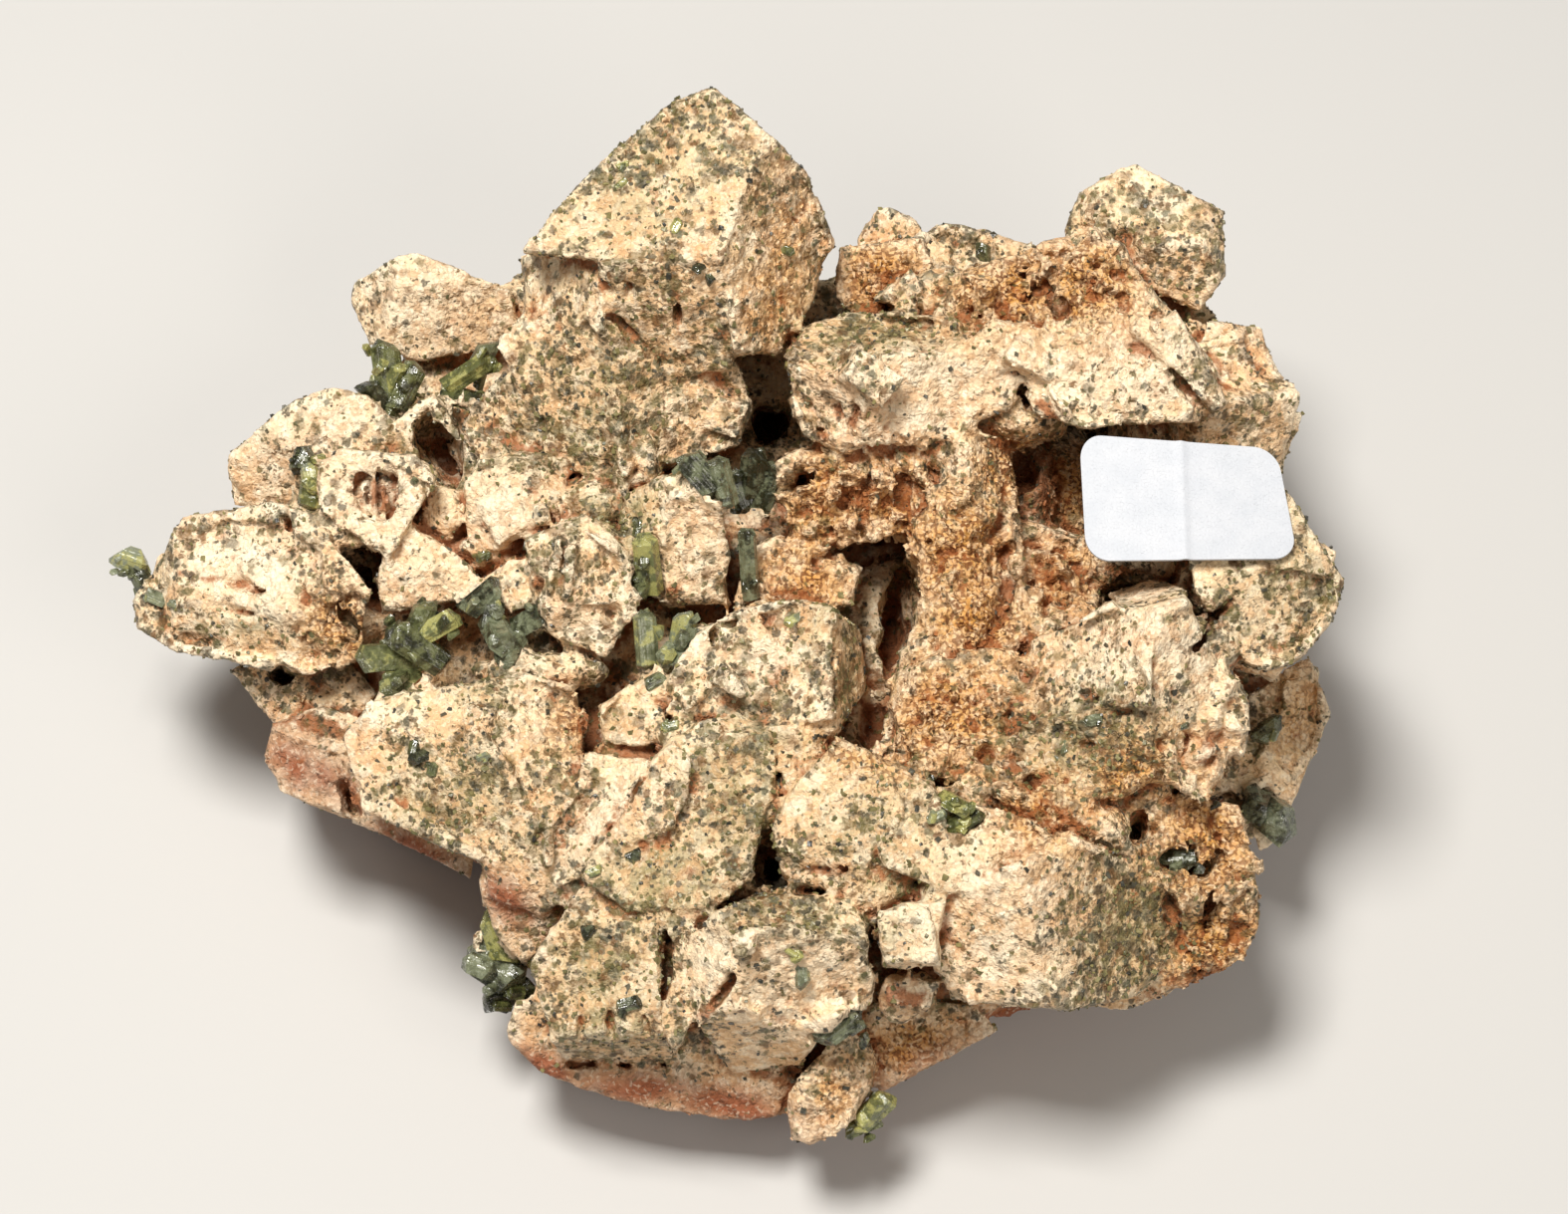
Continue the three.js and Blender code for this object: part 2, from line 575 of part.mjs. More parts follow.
// The mass under the blocks, left and right: [right, back, height] from the foot of the upright axis.
const LEFT_CORE = [
  [-39, -3, 12], [-41, 8, 12], [-33, 21, 13], [-12, 31, 20], [6, 28, 20], [6, -22, 19], [-25, -16.5, 15],
  [-34, -11.5, 12], [-18, 4, 23], [-8, -10, 23], [-35, -6, 0], [-35, 6, 0], [-29, 18, 0], [-10, 28, 0],
  [6, 27, 0], [6, -20, 0], [-25, -11, 0],
];
const RIGHT_CORE = [
  [-19.5, -31, 11], [-15, -36.5, 10], [1, -40, 9], [18, -30.5, 13], [34, -24, 13], [37, -10, 17],
  [38, 2, 19], [37, 18, 19], [29, 29, 20], [6, 31, 16], [-18, 4, 15], [0, -18, 22], [25, -12, 22],
  [14, 14, 17], [-18, -25, 0], [-15, -31, 0], [1, -35, 0], [18, -26, 0], [31, -21, 0], [35, -6, 0],
  [35, 12, 0], [28, 25, 0], [8, 28, 0], [-14, 4, 0],
];

// A hollow or crack. The rim is its edge in the portrait view; it is cut from above the rim height
// down to its depth under it, where its outline has shrunk to the stated share.
const HOLLOWS = [
  {
    rim: [[-35.7, 8.2], [-35.6, 10.7], [-34.5, 10.9], [-34.5, 8.2]],
    height: 33, depth: 3.5, shrink: 0.9,
  },
  {
    rim: [[-34.8, 10.3], [-34.6, 11.4], [-31.8, 11.3], [-31.6, 10]],
    height: 33.4, depth: 3.5, shrink: 0.9,
  },
  {
    rim: [[-33.1, 7.6], [-33.1, 10.4], [-31.7, 10.4], [-31.4, 7.8]],
    height: 33, depth: 3.5, shrink: 0.9,
  },
  {
    rim: [[-41.9, 6.2], [-41.8, 8], [-40.6, 8], [-40.4, 6.4]],
    height: 29.5, depth: 3, shrink: 0.7,
  },
  {
    rim: [[-49.8, 3.1], [-41, 1.4], [-41, 0.9], [-49.8, 2.4]],
    height: 28, depth: 1.6, shrink: 0.8,
  },
  {
    rim: [[-42.6, -5], [-41.5, -4.1], [-39.4, -5.6], [-40.8, -6.9]],
    height: 24, depth: 6, shrink: 0.7,
  },
  {
    rim: [[-37, -14.3], [-36.2, -14.1], [-34.3, -17.8], [-35.1, -18.2]],
    height: 20, depth: 6, shrink: 0.8,
  },
  {
    rim: [[-8.9, 27.8], [-8.1, 28], [-7, 20.5], [-7.9, 20.5]],
    height: 46, depth: 9, shrink: 0.9,
  },
  {
    rim: [[0.1, 11.4], [2.7, 11.5], [3, 10.4], [0.5, 10.1]],
    height: 35.5, depth: 7, shrink: 0.8,
  },
  {
    rim: [[5.6, 10.3], [7.4, 10.4], [7.7, 8.7], [6.2, 8.1]],
    height: 35, depth: 5, shrink: 0.6,
  },
  {
    rim: [[10.2, 10.9], [11.6, 11.8], [12.6, 10.4], [11.6, 9.2], [10.2, 9.4]],
    height: 35, depth: 7, shrink: 0.6,
  },
  {
    rim: [[6.3, -7.6], [9.8, -7.6], [10.6, -9.6], [9.4, -11.5], [7.4, -11.6], [6.1, -9.8]],
    height: 31, depth: 7, shrink: 0.6,
  },
  {
    rim: [[29.5, -18], [31, -16.8], [32.2, -17.2], [31.2, -19.6], [29.9, -20]],
    height: 28, depth: 7, shrink: 0.7,
  },
  {
    rim: [[30.9, -21.2], [32.8, -19.5], [37, -20.1], [35.4, -22.2], [33, -22.6]],
    height: 26, depth: 6, shrink: 0.7,
  },
  {
    rim: [[35.6, -26], [36.2, -24.2], [36.9, -24.4], [36.4, -27]],
    height: 24, depth: 5, shrink: 0.7,
  },
  {
    rim: [[-17.6, 6.6], [-16.8, 6.6], [-16.2, 2.2], [-16.8, 2]],
    height: 33, depth: 3, shrink: 0.8,
  },
  {
    rim: [[-20.6, 2.7], [-19.1, 2.8], [-19, 1.3], [-20.5, 1.4]],
    height: 30, depth: 5, shrink: 0.7,
  },
  {
    rim: [[-6.6, -34], [-6, -33.6], [-3.2, -31.2], [-3.4, -30.6], [-6.4, -32.8]],
    height: 27, depth: 4, shrink: 0.8,
  },
  {
    rim: [[18.6, -15.6], [19.4, -15.4], [25.6, -19.7], [25, -20.4]],
    height: 32, depth: 6, shrink: 0.8,
  },
  {
    rim: [[20.4, 27.6], [22, 28.4], [22.6, 26.4], [21, 25.6]],
    height: 42.5, depth: 3.5, shrink: 0.6,
  },
  {
    rim: [[22.8, 25.8], [24.4, 26.6], [24.6, 24.6], [23.2, 23.8]],
    height: 42.5, depth: 3.5, shrink: 0.6,
  },
  {
    rim: [[34, -11.4], [35.8, -10], [36.4, -12.2], [34.6, -13.4]],
    height: 32, depth: 3.5, shrink: 0.6,
  },
];

// Epidote prisms in groups: [across, rise, height, length, width, heading, lift]. Across, rise and
// height place the middle of a prism in the portrait view. Heading is the compass direction of its
// long axis from the right, anticlockwise, and lift is its angle above the table, both in degrees.
const EPIDOTE_GROUPS = {
  epidote_left_tip: [[-54, 4.2, 22.5, 3.8, 2.8, 165, 10], [-53.4, 3, 22, 3.4, 2.2, 120, 30]],
  epidote_far_seam: [
    [-32.6, 20, 23, 5.6, 3, 100, 40], [-31.2, 18.6, 22.5, 5, 2.8, 60, 25],
    [-33.4, 17.6, 22, 4.4, 2.4, 150, 50],
  ],
  epidote_far_spray: [
    [-26, 19.6, 23.5, 5.2, 2.6, 20, 30], [-24.6, 20.8, 23.5, 4.8, 2.4, 50, 45],
    [-26.4, 17.8, 22.5, 4.4, 2.4, 330, 20],
  ],
  epidote_left_prism: [[-39, 10.8, 27.6, 5.4, 3.2, 80, 55]],
  epidote_band: [
    [-32, -4, 27, 6.5, 3.4, 200, 25], [-30, -3.4, 27.6, 6, 3.2, 160, 35],
    [-31.6, -5.8, 26.6, 4.6, 2.6, 240, 30],
    [-28.6, -1.6, 28.2, 4.4, 2.6, 20, 25], [-30, -1.2, 28, 4.2, 2.2, 60, 35],
  ],
  epidote_glassy: [
    [-24.9, 0.9, 28.8, 4.4, 2.6, 30, 30], [-23.4, -1.8, 28.4, 5.4, 2.8, 290, 30],
    [-22.4, -3.2, 27.6, 4.2, 2.4, 250, 25],
    [-23.9, -0.2, 28.4, 3.8, 2.2, 80, 20], [-20.8, -0.9, 28, 4, 2.4, 10, 40],
  ],
  epidote_beside: [[-10.9, 3.6, 31.4, 6, 2.6, 100, 60], [-11.4, 2.2, 30.6, 3.8, 2.2, 70, 40]],
  epidote_crown: [[-6.4, 11.4, 37.2, 4.4, 2.8, 140, 30], [-4.6, 10.4, 36.8, 4.6, 2.2, 110, 50]],
  epidote_gap: [
    [-2, 11.2, 32.4, 7, 3, 80, 60], [-1, 9.8, 31, 5.4, 2.4, 60, 45], [-3, 9.6, 31, 4.8, 2.2, 120, 40],
  ],
  epidote_blade: [[-2.2, 3.4, 30.4, 7.6, 2, 95, 50]],
  epidote_pale_left: [[-10.9, -2.6, 29, 5, 2.4, 95, 35]],
  epidote_pale_right: [[-7.6, -3.6, 30, 4.6, 3.2, 40, 30], [-8, -1.9, 29.8, 3.6, 2.2, 75, 40]],
  epidote_bottom_left: [
    [-23, -27.4, 15.5, 6.4, 3.4, 110, 40], [-23.6, -30, 13.5, 7, 3.8, 150, 15],
    [-22.4, -32.2, 11.5, 5.6, 3, 200, 5],
  ],
  epidote_front: [[5.2, -35, 20.6, 4.8, 2.6, 30, 20], [4.7, -34.4, 21, 3.2, 1.8, 80, 50]],
  epidote_foot_tip: [[8, -41.9, 11, 4.2, 2.6, 40, 15], [7.2, -43.2, 10.2, 3.4, 1.6, 20, 5]],
  epidote_right_edge: [
    [41.4, -17.4, 15, 5.8, 3.2, 300, 30], [40.3, -16.4, 15.6, 4.2, 2.6, 250, 40],
  ],
  epidote_right_notch: [[41, -10.2, 18.6, 3.2, 1.8, 30, 30]],
  epidote_middle: [[14.8, -16.2, 31.8, 4.4, 1.9, 310, 35], [15.5, -17.6, 31.2, 3.8, 1.9, 20, 25]],
  epidote_pit: [[33.6, -20.8, 23.6, 4, 1.9, 350, 15]],
};

// Epidote on the sides that the portrait view doesn't show, placed by [right, back, height].
const HIDDEN_EPIDOTE_GROUPS = {
  epidote_back_seam: [[-18, 37.6, 12, 6.5, 3, 100, 25], [-15.4, 38, 10, 5.4, 2.4, 70, 10]],
  epidote_back_right: [[15, 36.6, 8, 6, 3, 80, 15], [17, 36.2, 7, 5, 2.4, 50, 5]],
  epidote_right_low: [[42.2, 9, 15, 6, 2.8, 0, 20], [41.6, 11, 13, 4.8, 2.2, 40, 10]],
};

// Crystals on the back, the flanks and under the overhangs: the middle [right, back, height], the
// size and the turns about the three axes in degrees.
const OUTER_BLOCKS = [
  { at: [-27, 25, 9], size: [14, 13, 12], turns: [14, 8, 25] },
  { at: [-15, 31, 14], size: [14, 11, 15], turns: [-16, 12, 40] },
  { at: [-6, 31.5, 23], size: [13, 8, 12], turns: [-12, 16, 8] },
  { at: [4, 29, 13], size: [13, 12, 14], turns: [12, 10, 18] },
  { at: [18, 29.5, 12], size: [13, 11, 15], turns: [-10, 14, -24] },
  { at: [31, 26, 13], size: [13, 12, 16], turns: [10, -12, 28] },
  { at: [36, 17, 17], size: [12, 13, 15], turns: [24, 18, -14] },
  { at: [36, 6, 14], size: [12, 13, 13], turns: [-20, 22, 32] },
  { at: [38.5, 1, 24], size: [11, 12, 11], turns: [28, 14, -20] },
  { at: [35.5, 14, 29], size: [10, 12, 12], turns: [-24, 20, 18] },
  { at: [36, -6, 11], size: [12, 12, 12], turns: [18, 24, 34] },
  { at: [30, 26.5, 25], size: [11, 10, 12], turns: [22, -18, 38] },
  { at: [28, -20, 9], size: [13, 9, 11], turns: [16, -8, -20] },
  { at: [15, -24.5, 9], size: [13, 9, 11], turns: [-12, 12, 14] },
  { at: [-6, -31.5, 8], size: [13, 8, 9], turns: [14, 10, -16] },
  { at: [-30, -9, 8], size: [13, 9, 11], turns: [12, -14, -28] },
  { at: [-37, 3, 12], size: [14, 12, 12], turns: [-18, 20, 24] },
  { at: [-31, 14, 16], size: [13, 12, 13], turns: [20, -16, 30] },
  { at: [-14, 26, 26], size: [13, 12, 14], turns: [22, 14, -26] },
];

const LABEL_LEFT = [[25.4, 13.6], [26.6, 14.6], [34, 14.4], [34, 4.1], [27.8, 3.9], [26.2, 4.9]];
const LABEL_RIGHT = [[34, 14.4], [40.4, 13.6], [41.9, 12.3], [43.6, 5.6], [42.6, 4.3], [34, 4.1]];
const LABEL_MIDDLE = [34, 9.2, 39.7];
const LABEL_SLOPES = { left: [0.02, 0.15], right: [-0.08, 0.15] };

// The height of an epidote prism's section as a share of its width.
const SEAT_SHARE = 0.7;
const BACKWARD = new THREE.Vector3(0, 1, -0.08).normalize();
const UP_IN_VIEW = new THREE.Vector3(0, Math.sin(VIEW_ELEVATION), Math.cos(VIEW_ELEVATION));
const TO_EYE = new THREE.Vector3(0, -Math.cos(VIEW_ELEVATION), Math.sin(VIEW_ELEVATION));
const VIEW_CENTRE = new THREE.Vector3(0, 0, VIEW_CENTRE_HEIGHT);
const EYE = VIEW_CENTRE.clone().addScaledVector(TO_EYE, VIEW_DISTANCE);

// The line of sight through a point of the portrait view, as a vector from the eye.
function sightLine(across, rise) {
  return VIEW_CENTRE.clone().addScaledVector(UP_IN_VIEW, rise).setX(across).sub(EYE);
}

// The point of the specimen's frame that shows at [across, rise] and is `height` above the table.
function corner([across, rise, height]) {
  const sight = sightLine(across, rise);
  return EYE.clone().addScaledVector(sight, (height - EYE.z) / sight.z);
}

function facePlane([across, rise, height, slopeRight, slopeBack]) {
  const normal = new THREE.Vector3(-slopeRight, -slopeBack, 1).normalize();
  return { point: corner([across, rise, height]), normal };
}

// Where the line of sight meets a plane.
function pointOnPlane([across, rise], plane) {
  const sight = sightLine(across, rise);
  const reach = plane.point.clone().sub(EYE).dot(plane.normal) / sight.dot(plane.normal);
  return EYE.clone().addScaledVector(sight, reach);
}

// Turns a closed geometry into a solid that can be joined and cut.
function solidOf(geometry) {
  const bare = new THREE.BufferGeometry().setAttribute("position", geometry.getAttribute("position"));
  if (geometry.index) bare.setIndex(geometry.index);
  const merged = mergeVertices(bare, 1e-4);
  return new wasm.Manifold(
    new wasm.Mesh({
      numProp: 3,
      vertProperties: merged.attributes.position.array,
      triVerts: new Uint32Array(merged.index.array),
    }),
  );
}

// Turns a solid back into a geometry with flat faces.
function geometryOf(solid) {
  const mesh = solid.getMesh();
  const geometry = new THREE.BufferGeometry()
    .setAttribute("position", new THREE.BufferAttribute(mesh.vertProperties, 3))
    .setIndex(new THREE.BufferAttribute(mesh.triVerts, 1))
    .toNonIndexed();
  geometry.computeVertexNormals();
  return geometry;
}

// The solid without its sealed cavities and loose chips: of the closed shells that its triangles
// form, the one that holds the most.
function outerShell(solid) {
  const { vertProperties, triVerts } = solid.getMesh();
  const parent = Array.from({ length: vertProperties.length / 3 }, (_, i) => i);
  const rootOf = (i) => {
    while (parent[i] !== i) i = parent[i] = parent[parent[i]];
    return i;
  };
  for (let t = 0; t < triVerts.length; t += 3) {
    parent[rootOf(triVerts[t + 1])] = rootOf(triVerts[t]);
    parent[rootOf(triVerts[t + 2])] = rootOf(triVerts[t]);
  }
  const vertex = (i) => new THREE.Vector3().fromArray(vertProperties, 3 * i);
  const shells = new Map();
  for (let t = 0; t < triVerts.length; t += 3) {
    const [a, b, c] = triVerts.subarray(t, t + 3);
    const shell = shells.get(rootOf(a)) ?? { triangles: [], volume: 0 };
    shell.triangles.push(a, b, c);
    shell.volume += vertex(a).dot(vertex(b).cross(vertex(c)));
    shells.set(rootOf(a), shell);
  }
  const { triangles } = [...shells.values()].reduce((best, s) => (s.volume > best.volume ? s : best));
  const positions = new Float32Array(triangles.flatMap((i) => vertex(i).toArray()));
  const shell = new THREE.BufferGeometry();
  return solidOf(shell.setAttribute("position", new THREE.BufferAttribute(positions, 3)));
}

const hullOf = (points) => solidOf(new ConvexGeometry(points));
const joinAll = (solids) => solids.reduce((joined, solid) => joined.add(solid));

// Points drawn in towards their middle and moved to one height.
function shrunkAt(points, height, share) {
  const middle = points.reduce((sum, p) => sum.add(p), new THREE.Vector3()).divideScalar(points.length);
  return points.map((p) => p.clone().lerp(middle, 1 - share).setZ(height));
}

// Everything on the outer side of a plane.
function outerSpace({ point, normal }) {
  const size = 300;
  const box = new THREE.BoxGeometry(size, size, size).deleteAttribute("normal").deleteAttribute("uv");
  box.translate(0, 0, size / 2);
  box.applyQuaternion(new THREE.Quaternion().setFromUnitVectors(new THREE.Vector3(0, 0, 1), normal));
  return solidOf(box.translate(point.x, point.y, point.z));
}

// An outline without the corners that hardly turn it.
function plainOutline(outline) {
  return outline.reduce((kept, [x, y], i) => {
    const [ax, ay] = kept.at(-1) ?? outline.at(-1);
    const [bx, by] = outline[(i + 1) % outline.length];
    const area = Math.abs((bx - ax) * (y - ay) - (by - ay) * (x - ax));
    return area / Math.hypot(bx - ax, by - ay) > OUTLINE_TOLERANCE ? [...kept, [x, y]] : kept;
  }, []);
}

// A convex block: a post whose sides run along the lines of sight through its outline, tapering
// downwards, cut off by its face planes.
function feldsparBlock({ outline, faces, root, shrink, back }) {
  const height = faces[0][2];
  const corners = plainOutline(outline);
  const ring = (level) => {
    const share = 1 + ((shrink - 1) * (height - level)) / (height - root);
    const points = corners.map(([across, rise]) => corner([across, rise, level]));
    return shrunkAt(points, level, share);
  };
  const post = hullOf([...ring(height + POST_RISE), ...ring(root)]);
  const planes = faces.map(facePlane);
  if (back) planes.push({ point: new THREE.Vector3(0, back, height), normal: BACKWARD });
  return planes.reduce((solid, plane) => solid.subtract(outerSpace(plane)), post);
}

function outerBlock({ at, size, turns }) {
  const box = new THREE.BoxGeometry(...size).deleteAttribute("normal").deleteAttribute("uv");
  const [aboutX, aboutY, aboutZ] = turns.map(THREE.MathUtils.degToRad);
  return solidOf(box.rotateX(aboutX).rotateY(aboutY).rotateZ(aboutZ).translate(...at));
}

function hollow({ rim, height, depth, shrink }) {
  const mouth = rim.map(([across, rise]) => corner([across, rise, height + depth]));
  const floor = rim.map(([across, rise]) => corner([across, rise, height - depth]));
  return hullOf([...mouth, ...shrunkAt(floor, height - depth, shrink)]);
}

// One epidote prism: six unequal sides along its length and a wedge at the free end.
function epidotePrism(middle, [length, width, heading, lift]) {
  const half = width / 2;
  const reach = length / 2;
  const section = [[1, 0.05], [0.3, 0.7], [-0.7, 0.6], [-1, -0.15], [0.1, -0.7]];
  const points = section.flatMap(([side, rise]) => [
    new THREE.Vector3(-reach, side * half, rise * half),
    new THREE.Vector3(reach * (0.7 - 0.2 * side), side * half, rise * half),
  ]);
  points.push(new THREE.Vector3(reach, -half * 0.5, 0), new THREE.Vector3(reach, half * 0.1, 0.1 * half));
  const geometry = new ConvexGeometry(points).deleteAttribute("normal");
  geometry.rotateY(-THREE.MathUtils.degToRad(lift)).rotateZ(THREE.MathUtils.degToRad(heading));
  return solidOf(geometry.translate(middle.x, middle.y, middle.z));
}

function epidoteGroup(crystals, place, make) {
  return joinAll(crystals.map(([a, b, c, ...shape]) => make(place([a, b, c]), shape)));
}

// One half of the label between `lower` and `upper`, measured up from its underside.
function labelHalf(outline, slopes, lower, upper) {
  const plane = facePlane([...LABEL_MIDDLE, ...slopes]);
  const underside = outline.map((p) => pointOnPlane(p, plane));
  const lifted = (offset) => underside.map((p) => p.clone().setZ(p.z + offset));
  return hullOf([...lifted(lower), ...lifted(upper)]);
}

function labelSolid(lower, upper) {
  const left = labelHalf(LABEL_LEFT, LABEL_SLOPES.left, lower, upper);
  return left.add(labelHalf(LABEL_RIGHT, LABEL_SLOPES.right, lower, upper));
}

// A simple square seat round a prism, for the feldspar that it is rooted in.
function prismSeat(middle, [length, width, heading, lift]) {
  const side = width * SEAT_SHARE + 2 * SEAT_GAP;
  const box = new THREE.BoxGeometry(length + 2 * SEAT_GAP, width + 2 * SEAT_GAP, side);
  box.deleteAttribute("normal").deleteAttribute("uv");
  box.rotateY(-THREE.MathUtils.degToRad(lift)).rotateZ(THREE.MathUtils.degToRad(heading));
  return solidOf(box.translate(middle.x, middle.y, middle.z));
}

const inFrame = ([x, y, z]) => new THREE.Vector3(x, y, z);
const epidotePlacements = [
  ...Object.entries(EPIDOTE_GROUPS).map(([name, crystals]) => ({ name, crystals, place: corner })),
  ...Object.entries(HIDDEN_EPIDOTE_GROUPS).map(([name, crystals]) => ({ name, crystals, place: inFrame })),
];

const cores = [LEFT_CORE, RIGHT_CORE].map((corners) => hullOf(corners.map(inFrame)));
const blocks = [...Object.values(FELDSPAR_BLOCKS).map(feldsparBlock), ...OUTER_BLOCKS.map(outerBlock)];
const table = { point: new THREE.Vector3(), normal: new THREE.Vector3(0, 0, -1) };
let cluster = joinAll([...cores, ...blocks]).subtract(joinAll([outerSpace(table), ...HOLLOWS.map(hollow)]));
for (const { crystals, place } of epidotePlacements) {
  cluster = cluster.subtract(epidoteGroup(crystals, place, prismSeat));
}
cluster = outerShell(cluster.subtract(labelSolid(-SEAT_GAP, 16)));

const specimen = new THREE.Group();

function addPiece(name, solid, finish) {
  const geometry = geometryOf(solid).translate(-MIDDLE[0], -MIDDLE[1], 0);
  const piece = new THREE.Mesh(geometry, new THREE.MeshStandardMaterial({ metalness: 0, ...finish }));
  piece.name = name;
  specimen.add(piece);
}

addPiece("feldspar_cluster", cluster, { color: 0xd9b48f, roughness: 0.9 });
for (const { name, crystals, place } of epidotePlacements) {
  addPiece(name, epidoteGroup(crystals, place, epidotePrism), { color: 0x5a6b2e, roughness: 0.2 });
}
addPiece("paper_label", labelSolid(0, LABEL_THICKNESS), { color: 0xf2f0ea, roughness: 0.7 });

export default specimen;
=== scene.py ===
"""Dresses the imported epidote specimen: weathered feldspar, glassy epidote sprays and a paper label.

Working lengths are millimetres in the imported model's frame, with +Z up and the origin on the table
under the middle of the specimen. A mesh is scaled to metres when it is made.
"""

import logging
import math
from dataclasses import dataclass, field
from enum import Enum
from typing import Callable, Optional, Sequence, Union

import bpy
import numpy as np
import openvdb
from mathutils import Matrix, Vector


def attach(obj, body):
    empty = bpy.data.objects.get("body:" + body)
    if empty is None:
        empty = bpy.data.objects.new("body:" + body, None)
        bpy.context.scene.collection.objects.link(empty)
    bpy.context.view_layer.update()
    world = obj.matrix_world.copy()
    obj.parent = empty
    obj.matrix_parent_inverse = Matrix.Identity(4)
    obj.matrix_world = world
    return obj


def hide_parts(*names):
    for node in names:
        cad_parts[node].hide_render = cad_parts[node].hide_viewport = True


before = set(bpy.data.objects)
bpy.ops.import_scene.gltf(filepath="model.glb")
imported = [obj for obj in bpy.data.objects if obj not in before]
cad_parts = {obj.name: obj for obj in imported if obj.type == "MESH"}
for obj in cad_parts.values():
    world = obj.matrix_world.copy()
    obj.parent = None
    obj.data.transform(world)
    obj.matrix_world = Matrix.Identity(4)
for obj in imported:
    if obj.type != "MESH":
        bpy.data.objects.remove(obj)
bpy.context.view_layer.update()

log = logging.getLogger("specimen")

Array = np.ndarray
Socket = bpy.types.NodeSocket
Value = Union[Socket, float, Sequence[float]]

Triple = tuple[float, float, float]
Layers = tuple[tuple[float, float], ...]

MM = 0.001
BODY = "root"
RIGHT = np.array([1.0, 0, 0])
GRAIN_SEED = 200
SPRAY_SEED = 300
FLECK_SEED = 340


@dataclass(frozen=True)
class PortraitView:
    """The view of the photograph. A place in it is [across, rise] in millimetres from its middle."""

    elevation: float = math.radians(62)
    distance: float = 330.0
    centre: Triple = (4.47, 1.23, 22.0)
    picture_width: float = 131.25
    picture_middle: tuple[float, float] = (0.6, 0.2)
    sensor: float = 36.0

    @property
    def up(self) -> Array:
        """The upward direction of the picture."""
        return np.array([0.0, math.sin(self.elevation), math.cos(self.elevation)])

    @property
    def to_eye(self) -> Array:
        """The direction from the specimen to the eye."""
        return np.array([0.0, -math.cos(self.elevation), math.sin(self.elevation)])

    @property
    def eye(self) -> Array:
        """Where the eye is."""
        return np.array(self.centre) + self.distance * self.to_eye

    def sight(self, places: Array) -> Array:
        """Unit directions from the eye through places of the picture.

        Args:
            places: [across, rise] rows.

        Returns:
            One direction a row: centre + across * right + rise * up - eye, brought to length one.
        """
        places = np.atleast_2d(places)
        target = np.array(self.centre) + places[:, :1] * RIGHT + places[:, 1:2] * self.up
        lines = target - self.eye
        return lines / np.linalg.norm(lines, axis=1, keepdims=True)

    def point(self, across: float, rise: float, height: float) -> Array:
        """The point that shows at [across, rise] and is `height` above the table."""
        line = self.sight(np.array([[across, rise]]))[0]
        return self.eye + line * (height - self.eye[2]) / line[2]

    def camera(self) -> bpy.types.Object:
        """Makes the camera of the view.

        Returns:
            The camera's object.
        """
        data = bpy.data.cameras.new("portrait")
        data.sensor_width = self.sensor
        data.lens = self.sensor * self.distance / self.picture_width
        data.shift_x = self.picture_middle[0] / self.picture_width
        data.shift_y = self.picture_middle[1] / self.picture_width
        camera = bpy.data.objects.new("portrait", data)
        camera.location = Vector(self.eye) * MM
        camera.rotation_euler = (math.pi / 2 - self.elevation, 0, 0)
        bpy.context.scene.collection.objects.link(camera)
        bpy.context.scene.camera = camera
        return camera


VIEW = PortraitView()


def blended(low: Array, high: Array, part: Array, corners: Array) -> Array:
    """Values between the corners of a lattice.

    Args:
        low: the nearest lower corner of each point.
        high: the corner beyond it on every axis.
        part: how far the point is from the one to the other, 0 to 1 along each axis.
        corners: the values at the corners.

    Returns:
        One value a point: the eight corner values, each weighted by part or 1 - part along every axis.
    """
    value = np.zeros(len(part), np.float32)
    for step in range(8):
        ahead = [(step >> axis) & 1 for axis in range(3)]
        index = tuple((high if a else low)[:, axis] for axis, a in enumerate(ahead))
        weight = np.ones(len(part), np.float32)
        for axis, a in enumerate(ahead):
            weight *= part[:, axis] if a else 1 - part[:, axis]
        value += weight * corners[index]
    return value


@dataclass(frozen=True)
class LatticeNoise:
    """Random values on the corners of cubes `cell` wide, blended smoothly between them, -1 to 1."""

    cell: float
    seed: int
    period: int = 64

    def at(self, points: Array) -> Array:
        """The noise at some points.

        Args:
            points: rows of x, y, z.

        Returns:
            One value a row: the eight corner values weighted by 3t^2 - 2t^3 along each axis.
        """
        rng = np.random.default_rng(self.seed)
        corners = rng.uniform(-1, 1, (self.period,) * 3).astype(np.float32)
        scaled = points.astype(np.float32) / np.float32(self.cell) + np.float32(17.3)
        low = np.floor(scaled)
        part = scaled - low
        part = part * part * (3 - 2 * part)
        corner = low.astype(np.int32) % self.period
        beyond = (corner + 1) % self.period
        return blended(corner, beyond, part, corners)


